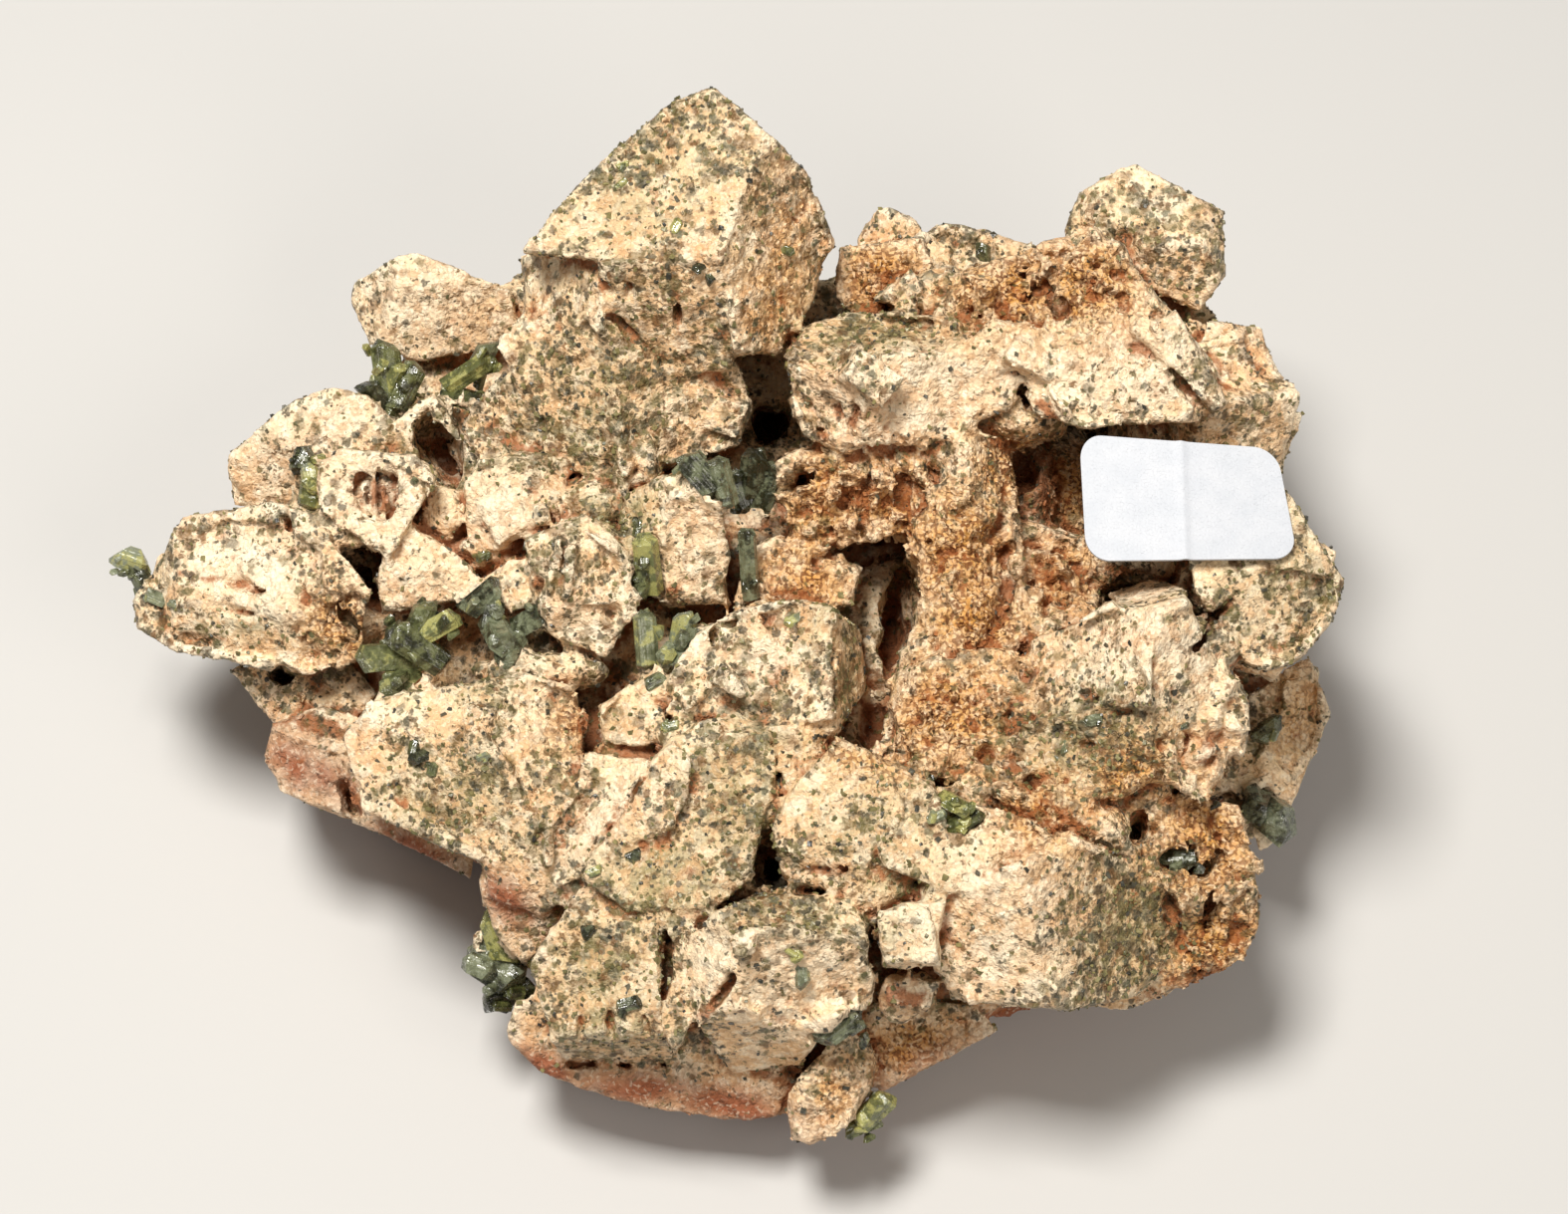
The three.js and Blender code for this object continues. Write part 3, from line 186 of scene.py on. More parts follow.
@dataclass(frozen=True)
class ChipNoise:
    """Irregular cells `cell` wide, each a tilted plane: the relief of broken, stepped stone."""

    cell: float
    seed: int
    slope: float = 0.35
    jump: float = 0.16
    period: int = 32

    def at(self, points: Array) -> Array:
        """The relief at some points.

        Args:
            points: rows of x, y, z.

        Returns:
            One value a row, in millimetres: the cell's own height, up to jump * cell, plus its own
            slope times the way from the cell's middle. A point belongs to the nearest middle among
            the eight lattice cells round it.
        """
        rng = np.random.default_rng(self.seed)
        facets = rng.uniform(-1, 1, (self.period**3, 7)).astype(np.float32)
        scaled = points.astype(np.float32) / np.float32(self.cell) + np.float32(40.3)
        base = np.floor(scaled - 0.5).astype(np.int32)
        best = np.full(len(points), np.inf, np.float32)
        away = np.zeros((len(points), 3), np.float32)
        chosen = np.zeros(len(points), np.int32)
        for step in range(8):
            corner = base + np.array([(step >> axis) & 1 for axis in range(3)], np.int32)
            index = corner % self.period
            index = (index[:, 0] * self.period + index[:, 1]) * self.period + index[:, 2]
            gap = scaled - corner - 0.5 - 0.32 * facets[index, :3]
            reach = (gap**2).sum(1)
            closer = reach < best
            best[closer] = reach[closer]
            away[closer] = gap[closer]
            chosen[closer] = index[closer]
        relief = self.jump * facets[chosen, 6] + self.slope * (facets[chosen, 3:6] * away).sum(1)
        return relief * self.cell


def layered(points: Array, layers: Layers, seed: int) -> Array:
    """Several noises added up.

    Args:
        points: rows of x, y, z.
        layers: (cell, strength) of each noise.
        seed: of the first noise; the next ones count up from it.

    Returns:
        The sum of strength times noise, one value a row.
    """
    return sum(share * LatticeNoise(cell, seed + i).at(points) for i, (cell, share) in enumerate(layers))


def turned(axes: Array, vectors: Array) -> Array:
    """Vectors measured along the three unit rows of `axes`."""
    return vectors @ np.asarray(axes).T


def rotated(first: Array, second: Array, degrees: float) -> tuple[Array, Array]:
    """Two directions at right angles, turned from the first towards the second."""
    cos, sin = math.cos(math.radians(degrees)), math.sin(math.radians(degrees))
    return cos * first + sin * second, cos * second - sin * first


def frame_of(normal: Array, spin: float) -> Array:
    """Three unit rows at right angles: two across `normal`, turned about it by `spin`, and itself."""
    normal = normal / np.linalg.norm(normal)
    helper = np.array([0.0, 0, 1]) if abs(normal[2]) < 0.9 else np.array([1.0, 0, 0])
    first = np.cross(helper, normal)
    first /= np.linalg.norm(first)
    second = np.cross(normal, first)
    side = math.cos(spin) * first + math.sin(spin) * second
    return np.array([side, np.cross(normal, side), normal])


@dataclass
class Volume:
    """Distances to a surface on a regular grid, negative inside: values[i, j, k] is at low + step * ijk."""

    values: Array
    low: Array
    step: float
    band: float

    @classmethod
    def of_mesh(cls, points: Array, triangles: Array, step: float, band: float, box: tuple[Array, Array]):
        """Measures the distance to a closed mesh.

        Args:
            points: the mesh's vertices.
            triangles: rows of three vertex numbers.
            step: the grid's spacing.
            band: distances beyond this are cut off.
            box: the lowest and highest corner that the grid has to cover.

        Returns:
            The volume.
        """
        transform = openvdb.createLinearTransform(voxelSize=step)
        grid = openvdb.FloatGrid.createLevelSetFromPolygons(
            points.astype(np.float32), triangles=triangles.astype(np.uint32), transform=transform,
            halfWidth=band / step,
        )
        first = np.floor(box[0] / step).astype(int)
        last = np.ceil(box[1] / step).astype(int)
        values = np.empty(tuple(last - first + 1), np.float32)
        grid.copyToArray(values, ijk=tuple(int(i) for i in first))
        return cls(np.clip(values, -band, band), first * step, step, band)

    def points_where(self, chosen: Array) -> Array:
        """The places of the chosen grid points, one a row."""
        return (np.argwhere(chosen) * self.step + self.low).astype(np.float32)

    def window(self, middle: Array, reach: float) -> tuple[tuple[slice, ...], Array]:
        """The part of the grid within `reach` of a point.

        Args:
            middle: the point.
            reach: half the window's side.

        Returns:
            The slices of the window, and its places as an array [.., .., .., 3] relative to middle.
        """
        shape = np.array(self.values.shape)
        first = np.clip(np.floor((middle - reach - self.low) / self.step).astype(int), 0, shape - 1)
        last = np.clip(np.ceil((middle + reach - self.low) / self.step).astype(int) + 1, 1, shape)
        slices = tuple(slice(a, max(b, a + 1)) for a, b in zip(first, last))
        lines = [
            np.arange(part.start, part.stop) * self.step + self.low[axis] - middle[axis]
            for axis, part in enumerate(slices)
        ]
        places = np.stack(np.meshgrid(*lines, indexing="ij"), axis=-1)
        return slices, places.astype(np.float32)

    def add(self, middle: Array, reach: float, distance: Callable[[Array], Array]) -> None:
        """Joins a shape: the smaller of both distances."""
        slices, places = self.window(middle, reach)
        self.values[slices] = np.minimum(self.values[slices], distance(places))

    def cut(self, middle: Array, reach: float, distance: Callable[[Array], Array]) -> None:
        """Cuts a shape out: the larger of the distance and the shape's distance turned round."""
        slices, places = self.window(middle, reach)
        self.values[slices] = np.maximum(self.values[slices], -distance(places))

    def closed(self, values: Array, radius: float) -> Array:
        """Fills what a ball can't get into.

        Args:
            values: distances on this grid.
            radius: of the ball.

        Returns:
            The distances to the filled shape: it is swollen by the radius, measured anew and shrunk.
        """
        points, quads = self.surface(slice(0, values.shape[0]), values - radius)
        halves = np.concatenate([quads[:, [0, 1, 2]], quads[:, [0, 2, 3]]])
        last = self.low + self.step * (np.array(values.shape) - 1)
        return Volume.of_mesh(points, halves, self.step, self.band, (self.low, last)).values + radius

    def at(self, points: Array, values: Optional[Array] = None) -> Array:
        """Values between the grid points.

        Args:
            points: rows of x, y, z.
            values: the grid values to read, or None for the distances.

        Returns:
            One value a row: the eight nearest grid values weighted by nearness.
        """
        grid = self.values if values is None else values
        scaled = (points - self.low) / self.step
        scaled = np.clip(scaled, 0, np.array(grid.shape) - 1.001)
        low = np.floor(scaled).astype(np.int32)
        part = (scaled - low).astype(np.float32)
        return blended(low, low + 1, part, grid)

    def normals(self, points: Array) -> Array:
        """Unit outward directions: the slope of the distance over one grid step each way."""
        ahead, behind = (
            np.stack([self.at(points + way * axis) for axis in np.eye(3)], axis=1)
            for way in (self.step, -self.step)
        )
        slope = ahead - behind
        return slope / (np.linalg.norm(slope, axis=1, keepdims=True) + 1e-9)

    def first_hits(self, places: Array) -> Array:
        """Where the lines of sight through places of the picture first meet the surface.

        Args:
            places: [across, rise] rows.

        Returns:
            The points, found by walking each line by nine tenths of the distance at every step.
        """
        lines = VIEW.sight(places)
        top = self.low[2] + self.step * self.values.shape[2]
        start = VIEW.eye + lines * ((top - VIEW.eye[2]) / lines[:, 2:])
        walked = np.zeros(len(lines))
        steps, arrived, shortest = 160, 0.02, 0.05
        for _ in range(steps):
            near = self.at(start + lines * walked[:, None])
            walked += np.where(near > arrived, np.maximum(0.9 * near, shortest), 0)
        return start + lines * walked[:, None]

    def solid_share(self, radius: float) -> Array:
        """The share of stone in a cube of half-width `radius` round each grid point, by running sums."""
        share = np.clip(0.5 - self.values / self.step, 0, 1)
        reach = max(1, round(radius / self.step))
        for axis in range(3):
            total = share.cumsum(axis, dtype=np.float64)
            padded = np.concatenate([np.zeros_like(share.take([0], axis)), total], axis)
            size = share.shape[axis]
            top = np.minimum(np.arange(size) + reach + 1, size)
            bottom = np.maximum(np.arange(size) - reach, 0)
            inside = padded.take(top, axis) - padded.take(bottom, axis)
            share = (inside / (2 * reach + 1)).astype(np.float32)
        return share

    def surface(self, rows: slice, values: Array) -> tuple[Array, Array]:
        """The closed surface where `values` crosses zero.

        Args:
            rows: the part of the first axis that `values` covers.
            values: the distances there.

        Returns:
            The vertices, and the faces as rows of four vertex numbers.
        """
        grid = openvdb.FloatGrid(self.band)
        grid.transform = openvdb.createLinearTransform(voxelSize=self.step)
        first = np.round(self.low / self.step).astype(int) + np.array([rows.start, 0, 0])
        padded = np.pad(values, 1, constant_values=self.band)
        grid.copyFromArray(np.ascontiguousarray(padded, np.float32), ijk=tuple(int(i) - 1 for i in first))
        points, quads = grid.convertToQuads(0.0)
        return points, quads.astype(np.int32)


def box_distance(half: Array, axes: Array, rounding: float = 0.0) -> Callable[[Array], Array]:
    """The distance to a box.

    Args:
        half: its half sizes.
        axes: its three unit directions, one a row.
        rounding: the radius of its edges.

    Returns:
        A function of places: the length of the part outside the faces, plus the depth inside them.
    """

    def distance(places: Array) -> Array:
        """The distance at places relative to the box's middle."""
        outside = np.abs(turned(axes, places)) - (half - rounding)
        return np.linalg.norm(np.maximum(outside, 0), axis=-1) + np.minimum(outside.max(-1), 0) - rounding

    return distance


def egg_distance(half: Array, axes: Array) -> Callable[[Array], Array]:
    """The distance to an egg: k * (k - 1) / l, with k the length of p / half and l that of p / half^2."""

    def distance(places: Array) -> Array:
        """The distance at places relative to the egg's middle."""
        local = turned(axes, places)
        k = np.linalg.norm(local / half, axis=-1)
        return k * (k - 1) / (np.linalg.norm(local / half**2, axis=-1) + 1e-6)

    return distance


def drop_loose_parts(points: Array, quads: Array) -> tuple[Array, Array]:
    """Keeps the largest connected part of a mesh.

    Args:
        points: the vertices.
        quads: rows of four vertex numbers.

    Returns:
        The vertices and faces of that part. Each vertex takes the lowest number among its neighbours
        again and again, until the numbers stay.
    """
    label = np.arange(len(points))
    edges = np.concatenate([quads[:, [0, 1]], quads[:, [1, 2]], quads[:, [2, 3]]])
    while True:
        lowest = label[edges].min(1)
        new = label.copy()
        np.minimum.at(new, edges[:, 0], lowest)
        np.minimum.at(new, edges[:, 1], lowest)
        new = new[new]
        if (new == label).all():
            break
        label = new
    numbers, counts = np.unique(label, return_counts=True)
    kept = label == numbers[counts.argmax()]
    renumbered = np.cumsum(kept) - 1
    return points[kept], renumbered[quads[kept[quads[:, 0]]]]


def linear(red: int, green: int, blue: int) -> tuple[float, float, float, float]:
    """A colour given in the 0 to 255 values of a screen, as Blender's linear values."""
    parts = [value / 255 for value in (red, green, blue)]
    return tuple(p / 12.92 if p <= 0.04045 else ((p + 0.055) / 1.055) ** 2.4 for p in parts) + (1.0,)


class Graph:
    """A node tree under construction, with short calls for the nodes that come up often."""

    def __init__(self, tree: bpy.types.NodeTree) -> None:
        """Starts on a tree."""
        self.tree = tree

    def node(
        self, kind: str, inputs: Optional[dict[str, Value]] = None, **settings: object
    ) -> bpy.types.Node:
        """Adds a node.

        Args:
            kind: the node's type, without ShaderNode.
            inputs: by socket name, a socket to link or a value to set.
            settings: properties of the node.

        Returns:
            The node.
        """
        made = self.tree.nodes.new("ShaderNode" + kind)
        for name, value in settings.items():
            setattr(made, name, value)
        for name, value in (inputs or {}).items():
            self.feed(made.inputs[name], value)
        return made

    def feed(self, socket: Socket, value: Value) -> None:
        """Links a socket to another, or sets its value."""
        if isinstance(value, bpy.types.NodeSocket):
            self.tree.links.new(value, socket)
        else:
            socket.default_value = value

    def math(self, operation: str, first: Value, second: Value = 0.0, clamp: bool = False) -> Socket:
        """The result of a Math node."""
        made = self.node("Math", operation=operation, use_clamp=clamp)
        self.feed(made.inputs[0], first)
        self.feed(made.inputs[1], second)
        return made.outputs[0]

    def mix(self, factor: Value, first: Value, second: Value, blend: str = "MIX") -> Socket:
        """Two colours mixed."""
        made = self.node("Mix", data_type="RGBA", blend_type=blend)
        self.feed(made.inputs["Factor"], factor)
        self.feed(made.inputs[6], first)
        self.feed(made.inputs[7], second)
        return made.outputs[2]

    def span(self, value: Value, low: float, high: float, start: float = 0.0, end: float = 1.0) -> Socket:
        """A value brought from low..high to start..end with soft ends."""
        made = self.node("MapRange", interpolation_type="SMOOTHSTEP")
        for name, number in (("From Min", low), ("From Max", high), ("To Min", start), ("To Max", end)):
            made.inputs[name].default_value = number
        self.feed(made.inputs["Value"], value)
        return made.outputs["Result"]

    def noise(self, vector: Socket, cell: float, detail: float = 3.0, rough: float = 0.55) -> Socket:
        """Noise with features about `cell` millimetres wide."""
        wanted = {"Vector": vector, "Scale": 1 / cell, "Detail": detail, "Roughness": rough}
        return self.node("TexNoise", wanted).outputs["Fac"]

    def bent(self, vector: Socket, cell: float, reach: float) -> Socket:
        """A vector moved about by noise, so that the cells read with it get ragged outlines."""
        bend = self.node("TexNoise", {"Vector": vector, "Scale": 1 / cell, "Detail": 2.0}).outputs["Color"]
        centred = self.node("VectorMath", operation="SUBTRACT")
        self.feed(centred.inputs[0], bend)
        centred.inputs[1].default_value = (0.5, 0.5, 0.5)
        moved = self.node("VectorMath", operation="MULTIPLY_ADD")
        self.feed(moved.inputs[0], centred.outputs[0])
        moved.inputs[1].default_value = (reach, reach, reach)
        self.feed(moved.inputs[2], vector)
        return moved.outputs[0]

    def attribute(self, name: str) -> Socket:
        """A value stored at the vertices."""
        return self.node("Attribute", attribute_name=name).outputs["Fac"]

    def millimetres(self) -> Socket:
        """Object coordinates in millimetres."""
        place = self.node("TexCoord").outputs["Object"]
        return self.node("Mapping", {"Vector": place, "Scale": (1000.0, 1000.0, 1000.0)}).outputs[0]


class EffectGroup:
    """A shader node group with named sockets, built once."""

    def __init__(self, name: str, inputs: dict[str, Value], outputs: Sequence[str]) -> None:
        """Makes the group's sockets.

        Args:
            name: the group's name.
            inputs: socket names with their default values; None stands for a vector.
            outputs: the names of the value outputs.
        """
        self.tree = bpy.data.node_groups.new(name, "ShaderNodeTree")
        for label, value in inputs.items():
            kind = "NodeSocketVector" if value is None else "NodeSocketFloat"
            socket = self.tree.interface.new_socket(label, in_out="INPUT", socket_type=kind)
            if value is not None:
                socket.default_value = value
        for label in outputs:
            self.tree.interface.new_socket(label, in_out="OUTPUT", socket_type="NodeSocketFloat")
        self.graph = Graph(self.tree)
        self.given = self.tree.nodes.new("NodeGroupInput").outputs
        self.result = self.tree.nodes.new("NodeGroupOutput").inputs

    def place(self, graph: Graph, inputs: dict[str, Value]) -> bpy.types.NodeOutputs:
        """Places the group in a material.

        Args:
            graph: the material's graph.
            inputs: by socket name, a socket or a value.

        Returns:
            The outputs of the group node.
        """
        made = graph.node("Group", node_tree=self.tree)
        for name, value in inputs.items():
            graph.feed(made.inputs[name], value)
        return made.outputs


class Effects:
    """The effects that several materials share."""

    def __init__(self) -> None:
        """Builds the groups."""
        self.specks = self.speck_group()
        self.grain = self.grain_group()

    @staticmethod
    def speck_group() -> EffectGroup:
        """Mineral specks: irregular cells, each with a size and a tone of its own."""
        group = EffectGroup("mineral_specks", {"Vector": None, "Size": 0.6, "Cover": 0.5}, ["Mask", "Tone"])
        graph, given = group.graph, group.given
        scale = graph.math("DIVIDE", 1.0, given["Size"])
        cells = graph.node("TexVoronoi", {"Vector": given["Vector"], "Scale": scale})
        parts = graph.node("SeparateColor", {"Color": cells.outputs["Color"]})
        chance = graph.math("SUBTRACT", given["Cover"], parts.outputs["Red"])
        widened = graph.math("MULTIPLY", graph.math("MINIMUM", chance, 0.5), 0.45)
        radius = graph.math("ADD", widened, 0.24)
        inside = graph.math("SUBTRACT", radius, cells.outputs["Distance"])
        soft = graph.span(inside, -0.16, 0.12)
        there = graph.math("GREATER_THAN", chance, 0.0)
        graph.feed(group.result["Mask"], graph.math("MULTIPLY", soft, there))
        graph.feed(group.result["Tone"], parts.outputs["Green"])
        return group

    @staticmethod
    def grain_group() -> EffectGroup:
        """Sugary grain: a height made of small tilted facets and fine noise."""
        group = EffectGroup("stone_grain", {"Vector": None, "Size": 0.4}, ["Height"])
        graph, given = group.graph, group.given
        scale = graph.math("DIVIDE", 1.0, given["Size"])
        cells = graph.node("TexVoronoi", {"Vector": given["Vector"], "Scale": scale})
        tilt = graph.node("VectorMath", operation="SUBTRACT")
        graph.feed(tilt.inputs[0], cells.outputs["Color"])
        tilt.inputs[1].default_value = (0.5, 0.5, 0.5)
        away = graph.node("VectorMath", operation="SUBTRACT")
        graph.feed(away.inputs[0], given["Vector"])
        graph.feed(away.inputs[1], cells.outputs["Position"])
        facet = graph.node("VectorMath", operation="DOT_PRODUCT")
        graph.feed(facet.inputs[0], tilt.outputs[0])
        graph.feed(facet.inputs[1], away.outputs[0])
        slope = graph.math("MULTIPLY", facet.outputs["Value"], graph.math("MULTIPLY", scale, 2.2))
        wanted = {"Vector": given["Vector"], "Scale": scale, "Detail": 3.0, "Roughness": 0.7}
        fine = graph.node("TexNoise", wanted).outputs["Fac"]
        graph.feed(group.result["Height"], graph.math("ADD", graph.math("MULTIPLY", fine, 0.9), slope))
        return group


class Finish:
    """A material: subclasses paint its graph."""

    name = "finish"

    def __init__(self, effects: Effects) -> None:
        """Makes the material and paints it."""
        self.effects = effects
        self.material = bpy.data.materials.new(self.name)
        self.material.use_nodes = True
        self.graph = Graph(self.material.node_tree)
        self.shader = self.material.node_tree.nodes["Principled BSDF"]
        self.paint()

    def paint(self) -> None:
        """Fills the graph."""
        raise NotImplementedError

    def set(self, name: str, value: Value) -> None:
        """Feeds a socket of the shader."""
        self.graph.feed(self.shader.inputs[name], value)

    def bump(self, height: Socket, depth: float) -> None:
        """Turns a height into the shader's normal; depth is in millimetres."""
        wanted = {"Height": height, "Distance": depth * MM, "Strength": 1.0}
        self.set("Normal", self.graph.node("Bump", wanted).outputs["Normal"])


class FeldsparFinish(Finish):
    """Cream to peach stone, rusty in its seams, ochre in its hollows, with dark and olive specks; painted
    shade darkens its deep hollows, the gaps of its grain, its front faces and its low rim, and painted
    highlights lighten its edges and grain tops.
    """

    name = "feldspar_stone"
    cream = linear(240, 213, 170)
    peach = linear(232, 186, 138)
    white = linear(252, 238, 210)
    ochre = linear(214, 156, 80)
    rust = linear(150, 84, 40)
    # Dark brown painted as shade deep in the wide hollows.
    hollow_shade_brown = linear(116, 64, 30)
    # Pinkish brown of the low rim: partly its crust, partly painted shade towards the bottom.
    blush = linear(146, 80, 50)
    moss = linear(156, 142, 98)
    tan = linear(200, 150, 100)
    # Brown of the grain's gaps: partly iron stain, partly painted shade.
    brown = linear(116, 66, 30)
    speck_tones = (linear(58, 54, 38), linear(108, 98, 58), linear(118, 82, 46), linear(96, 96, 74))

    def stone_colour(self, place: Socket, bent: Socket, relief: Socket) -> Socket:
        """The colour without its specks.

        Args:
            place: millimetres.
            bent: the same moved about, for ragged patches.
            relief: the height of the grain, whose gaps are painted brown as stain and as shade, and whose
                tops are painted lighter as a highlight.

        Returns:
            The colour.
        """
        graph = self.graph
        mottle = graph.noise(place, 1.3, 4.0, 0.65)
        grain, patch = (
            self.effects.specks.place(graph, {"Vector": bent, "Size": size, "Cover": 0.0})["Tone"]
            for size in (0.7, 1.7)
        )
        patches = graph.span(graph.noise(place, 6.0), 0.42, 0.66)
        # Faces that turn to the front go peach, darker and warmer, as painted shade; the peach patches
        # elsewhere are the stone's own.
        front = graph.math("MULTIPLY", graph.attribute("facing"), 0.7)
        colour = graph.mix(graph.math("MAXIMUM", patches, front), self.cream, self.peach)
        colour = graph.mix(graph.span(mottle, 0.5, 0.64, 0.0, 0.6), colour, self.white)
        colour = graph.mix(graph.span(patch, 0.6, 0.85, 0.0, 0.45), colour, self.white)
        # Convex edges are painted lighter, a painted highlight; the white patches are the stone's own.
        pale = graph.math("MAXIMUM", graph.attribute("edge"), graph.attribute("white"))
        colour = graph.mix(graph.math("MULTIPLY", pale, 0.65), colour, self.white)
        film = graph.math("MULTIPLY", graph.attribute("olive"), graph.span(mottle, 0.38, 0.6, 0.3, 0.95))
        colour = graph.mix(film, colour, self.moss)
        warm = graph.math("MULTIPLY", graph.attribute("ochre"), graph.span(mottle, 0.38, 0.62, 1.0, 0.6))
        colour = graph.mix(warm, colour, self.ochre)
        colour = graph.mix(graph.span(grain, 0.3, 0.1, 0.0, 0.45), colour, self.tan)
        # Low down and in the crust spots the colour goes pinkish brown: partly a crust, partly painted
        # shade.
        colour = graph.mix(graph.attribute("blush"), colour, self.blush)
        # The tops of the grain are painted lighter: a painted highlight.
        colour = graph.mix(graph.span(relief, 0.6, 1.0, 0.0, 0.3), colour, self.white)
        # The gaps of the grain go brown, more in the ochre places: partly iron staining, partly painted
        # shade.
        gap_stain_and_shade_weight = graph.math("ADD", graph.math("MULTIPLY", graph.attribute("ochre"), 0.75), 0.16)
        pits = graph.math("MULTIPLY", graph.span(relief, 0.42, 0.1), gap_stain_and_shade_weight)
        colour = graph.mix(pits, colour, self.brown)
        ragged = graph.math("MULTIPLY", graph.math("SUBTRACT", 0.5, mottle), 2.2)
        seam = graph.span(graph.math("ADD", graph.attribute("crevice"), ragged), 0.3, 0.9, 0.0, 0.85)
        colour = graph.mix(seam, colour, self.rust)
        # Deep in the wide hollows the colour goes dark brown: painted shade.
        return graph.mix(graph.math("MULTIPLY", graph.attribute("depth"), 0.85), colour, self.hollow_shade_brown)

    def speck_tone(self, tone: Socket) -> Socket:
        """One of the speck colours for each tone between 0 and 1."""
        graph = self.graph
        dark, olive, brown, grey = self.speck_tones
        colour = graph.mix(graph.span(tone, 0.2, 0.5), dark, olive)
        colour = graph.mix(graph.span(tone, 0.6, 0.75), colour, brown)
        return graph.mix(graph.span(tone, 0.82, 0.95), colour, grey)

    def paint(self) -> None:
        """Stone colour, three sizes of specks over it, and a granular relief."""
        graph = self.graph
        place = graph.millimetres()
        bent = graph.bent(place, 0.4, 0.9)
        fine = self.effects.grain.place(graph, {"Vector": place, "Size": 0.42})["Height"]
        coarse = graph.noise(bent, 1.7, 2.0, 0.6)
        colour = self.stone_colour(place, bent, fine)
        clumps = graph.math("ADD", graph.noise(place, 2.4, 3.0), graph.noise(place, 9.0, 1.0))
        clumps = graph.span(clumps, 0.86, 1.1, 0.1, 1.0)
        lively = graph.math("MAXIMUM", graph.attribute("olive"), graph.attribute("speckled"))
        dense = graph.math("MULTIPLY", graph.attribute("olive"), 0.3)
        cover = graph.math("ADD", graph.math("MULTIPLY", clumps, lively), dense)
        dark = None
        for size, share in ((0.5, 0.85), (0.85, 0.8), (1.4, 0.6)):
            specks = self.effects.specks.place(graph, {"Vector": bent, "Size": size, "Cover": cover})
            strength = graph.math("MULTIPLY", specks["Mask"], share)
            colour = graph.mix(strength, colour, self.speck_tone(specks["Tone"]))
            dark = specks["Mask"] if dark is None else graph.math("MAXIMUM", dark, specks["Mask"])
        self.set("Base Color", colour)
        self.set("Roughness", graph.span(dark, 0.0, 1.0, 0.8, 0.45))
        self.set("Specular IOR Level", 0.35)
        sugary = graph.math("ADD", graph.math("MULTIPLY", graph.attribute("ochre"), 0.65), 0.3)
        grainy = graph.math("MULTIPLY", fine, sugary)
        relief = graph.math("ADD", grainy, graph.math("MULTIPLY", coarse, 2.6))
        self.bump(relief, 0.34)


class Tint(Enum):
    """The kinds of loose mineral crumbs."""

    PALE = "pale"
    OCHRE = "ochre"
    OLIVE = "olive"
    DARK = "dark"


class CrumbFinish(Finish):
    """Small crumbs of one tint, each with a tone of its own."""

    tones = {
        Tint.PALE: (linear(246, 232, 210), linear(226, 194, 160)),
        Tint.OCHRE: (linear(214, 170, 112), linear(168, 108, 62)),
        Tint.OLIVE: (linear(140, 130, 84), linear(84, 82, 52)),
        Tint.DARK: (linear(98, 92, 74), linear(44, 45, 40)),
    }
    rough = {Tint.PALE: 0.7, Tint.OCHRE: 0.85, Tint.OLIVE: 0.35, Tint.DARK: 0.3}

    def __init__(self, effects: Effects, tint: Tint) -> None:
        """Names the finish after its tint."""
        self.name = f"{tint.value}_crumbs"
        self.tint = tint
        super().__init__(effects)

    def paint(self) -> None:
        """The tone of each crumb, mottled a little."""
        graph = self.graph
        place = graph.millimetres()
        light, dark = self.tones[self.tint]
        mottle = graph.span(graph.noise(place, 0.5), 0.3, 0.7, -0.15, 0.15)
        share = graph.math("ADD", graph.attribute("tone"), mottle, clamp=True)
        self.set("Base Color", graph.mix(share, light, dark))
        self.set("Roughness", self.rough[self.tint])
        relief = self.effects.grain.place(graph, {"Vector": place, "Size": 0.3})
        self.bump(relief["Height"], 0.06)


class EpidoteFinish(Finish):
    """Glassy pistachio to blackish green crystal."""

    name = "epidote_glass"
    deep = linear(44, 46, 26)
    green = linear(118, 122, 68)
    grey = linear(170, 178, 156)
    pistachio = linear(206, 202, 122)

    def paint(self) -> None:
        """A tone for each crystal, from blackish to yellow green, striated along its length."""
        graph = self.graph
        place = graph.millimetres()
        cloud = graph.span(graph.noise(place, 1.0, 4.0, 0.65), 0.36, 0.64, -0.3, 0.3)
        tone = graph.math("ADD", graph.attribute("tone"), cloud, clamp=True)
        colour = graph.mix(graph.span(tone, 0.0, 0.7), self.deep, self.green)
        colour = graph.mix(graph.math("MULTIPLY", graph.attribute("teal"), tone), colour, self.grey)
        colour = graph.mix(graph.span(tone, 0.72, 1.0, 0.0, 0.85), colour, self.pistachio)
        self.set("Base Color", colour)
        self.set("Roughness", graph.span(graph.noise(place, 0.5), 0.35, 0.65, 0.05, 0.34))
        self.set("IOR", 1.74)
        self.set("Transmission Weight", 0.4)
        lines = graph.node(
            "TexNoise", {"W": graph.attribute("girth"), "Scale": 3.4, "Detail": 3.0}, noise_dimensions="1D",
        )
        grain = self.effects.grain.place(graph, {"Vector": place, "Size": 0.8})
        height = graph.math("ADD", lines.outputs["Fac"], graph.math("MULTIPLY", grain["Height"], 0.9))
        self.bump(height, 0.12)


class PaperFinish(Finish):
    """Matt white paper with a faint fibre."""

    name = "label_paper"

    def paint(self) -> None:
        """White with faint clouds and fibre relief."""
        graph = self.graph
        place = graph.millimetres()
        cloud = graph.span(graph.noise(place, 2.5), 0.3, 0.7)
        self.set("Base Color", graph.mix(cloud, linear(196, 199, 205), linear(189, 193, 200)))
        self.set("Roughness", 0.62)
        relief = self.effects.grain.place(graph, {"Vector": place, "Size": 0.25})
        self.bump(relief["Height"], 0.012)


class FloorFinish(Finish):
    """The plain pale floor."""

    name = "pale_floor"

    def paint(self) -> None:
        """One plain tone."""
        self.set("Base Color", linear(196, 195, 193))
        self.set("Roughness", 0.8)


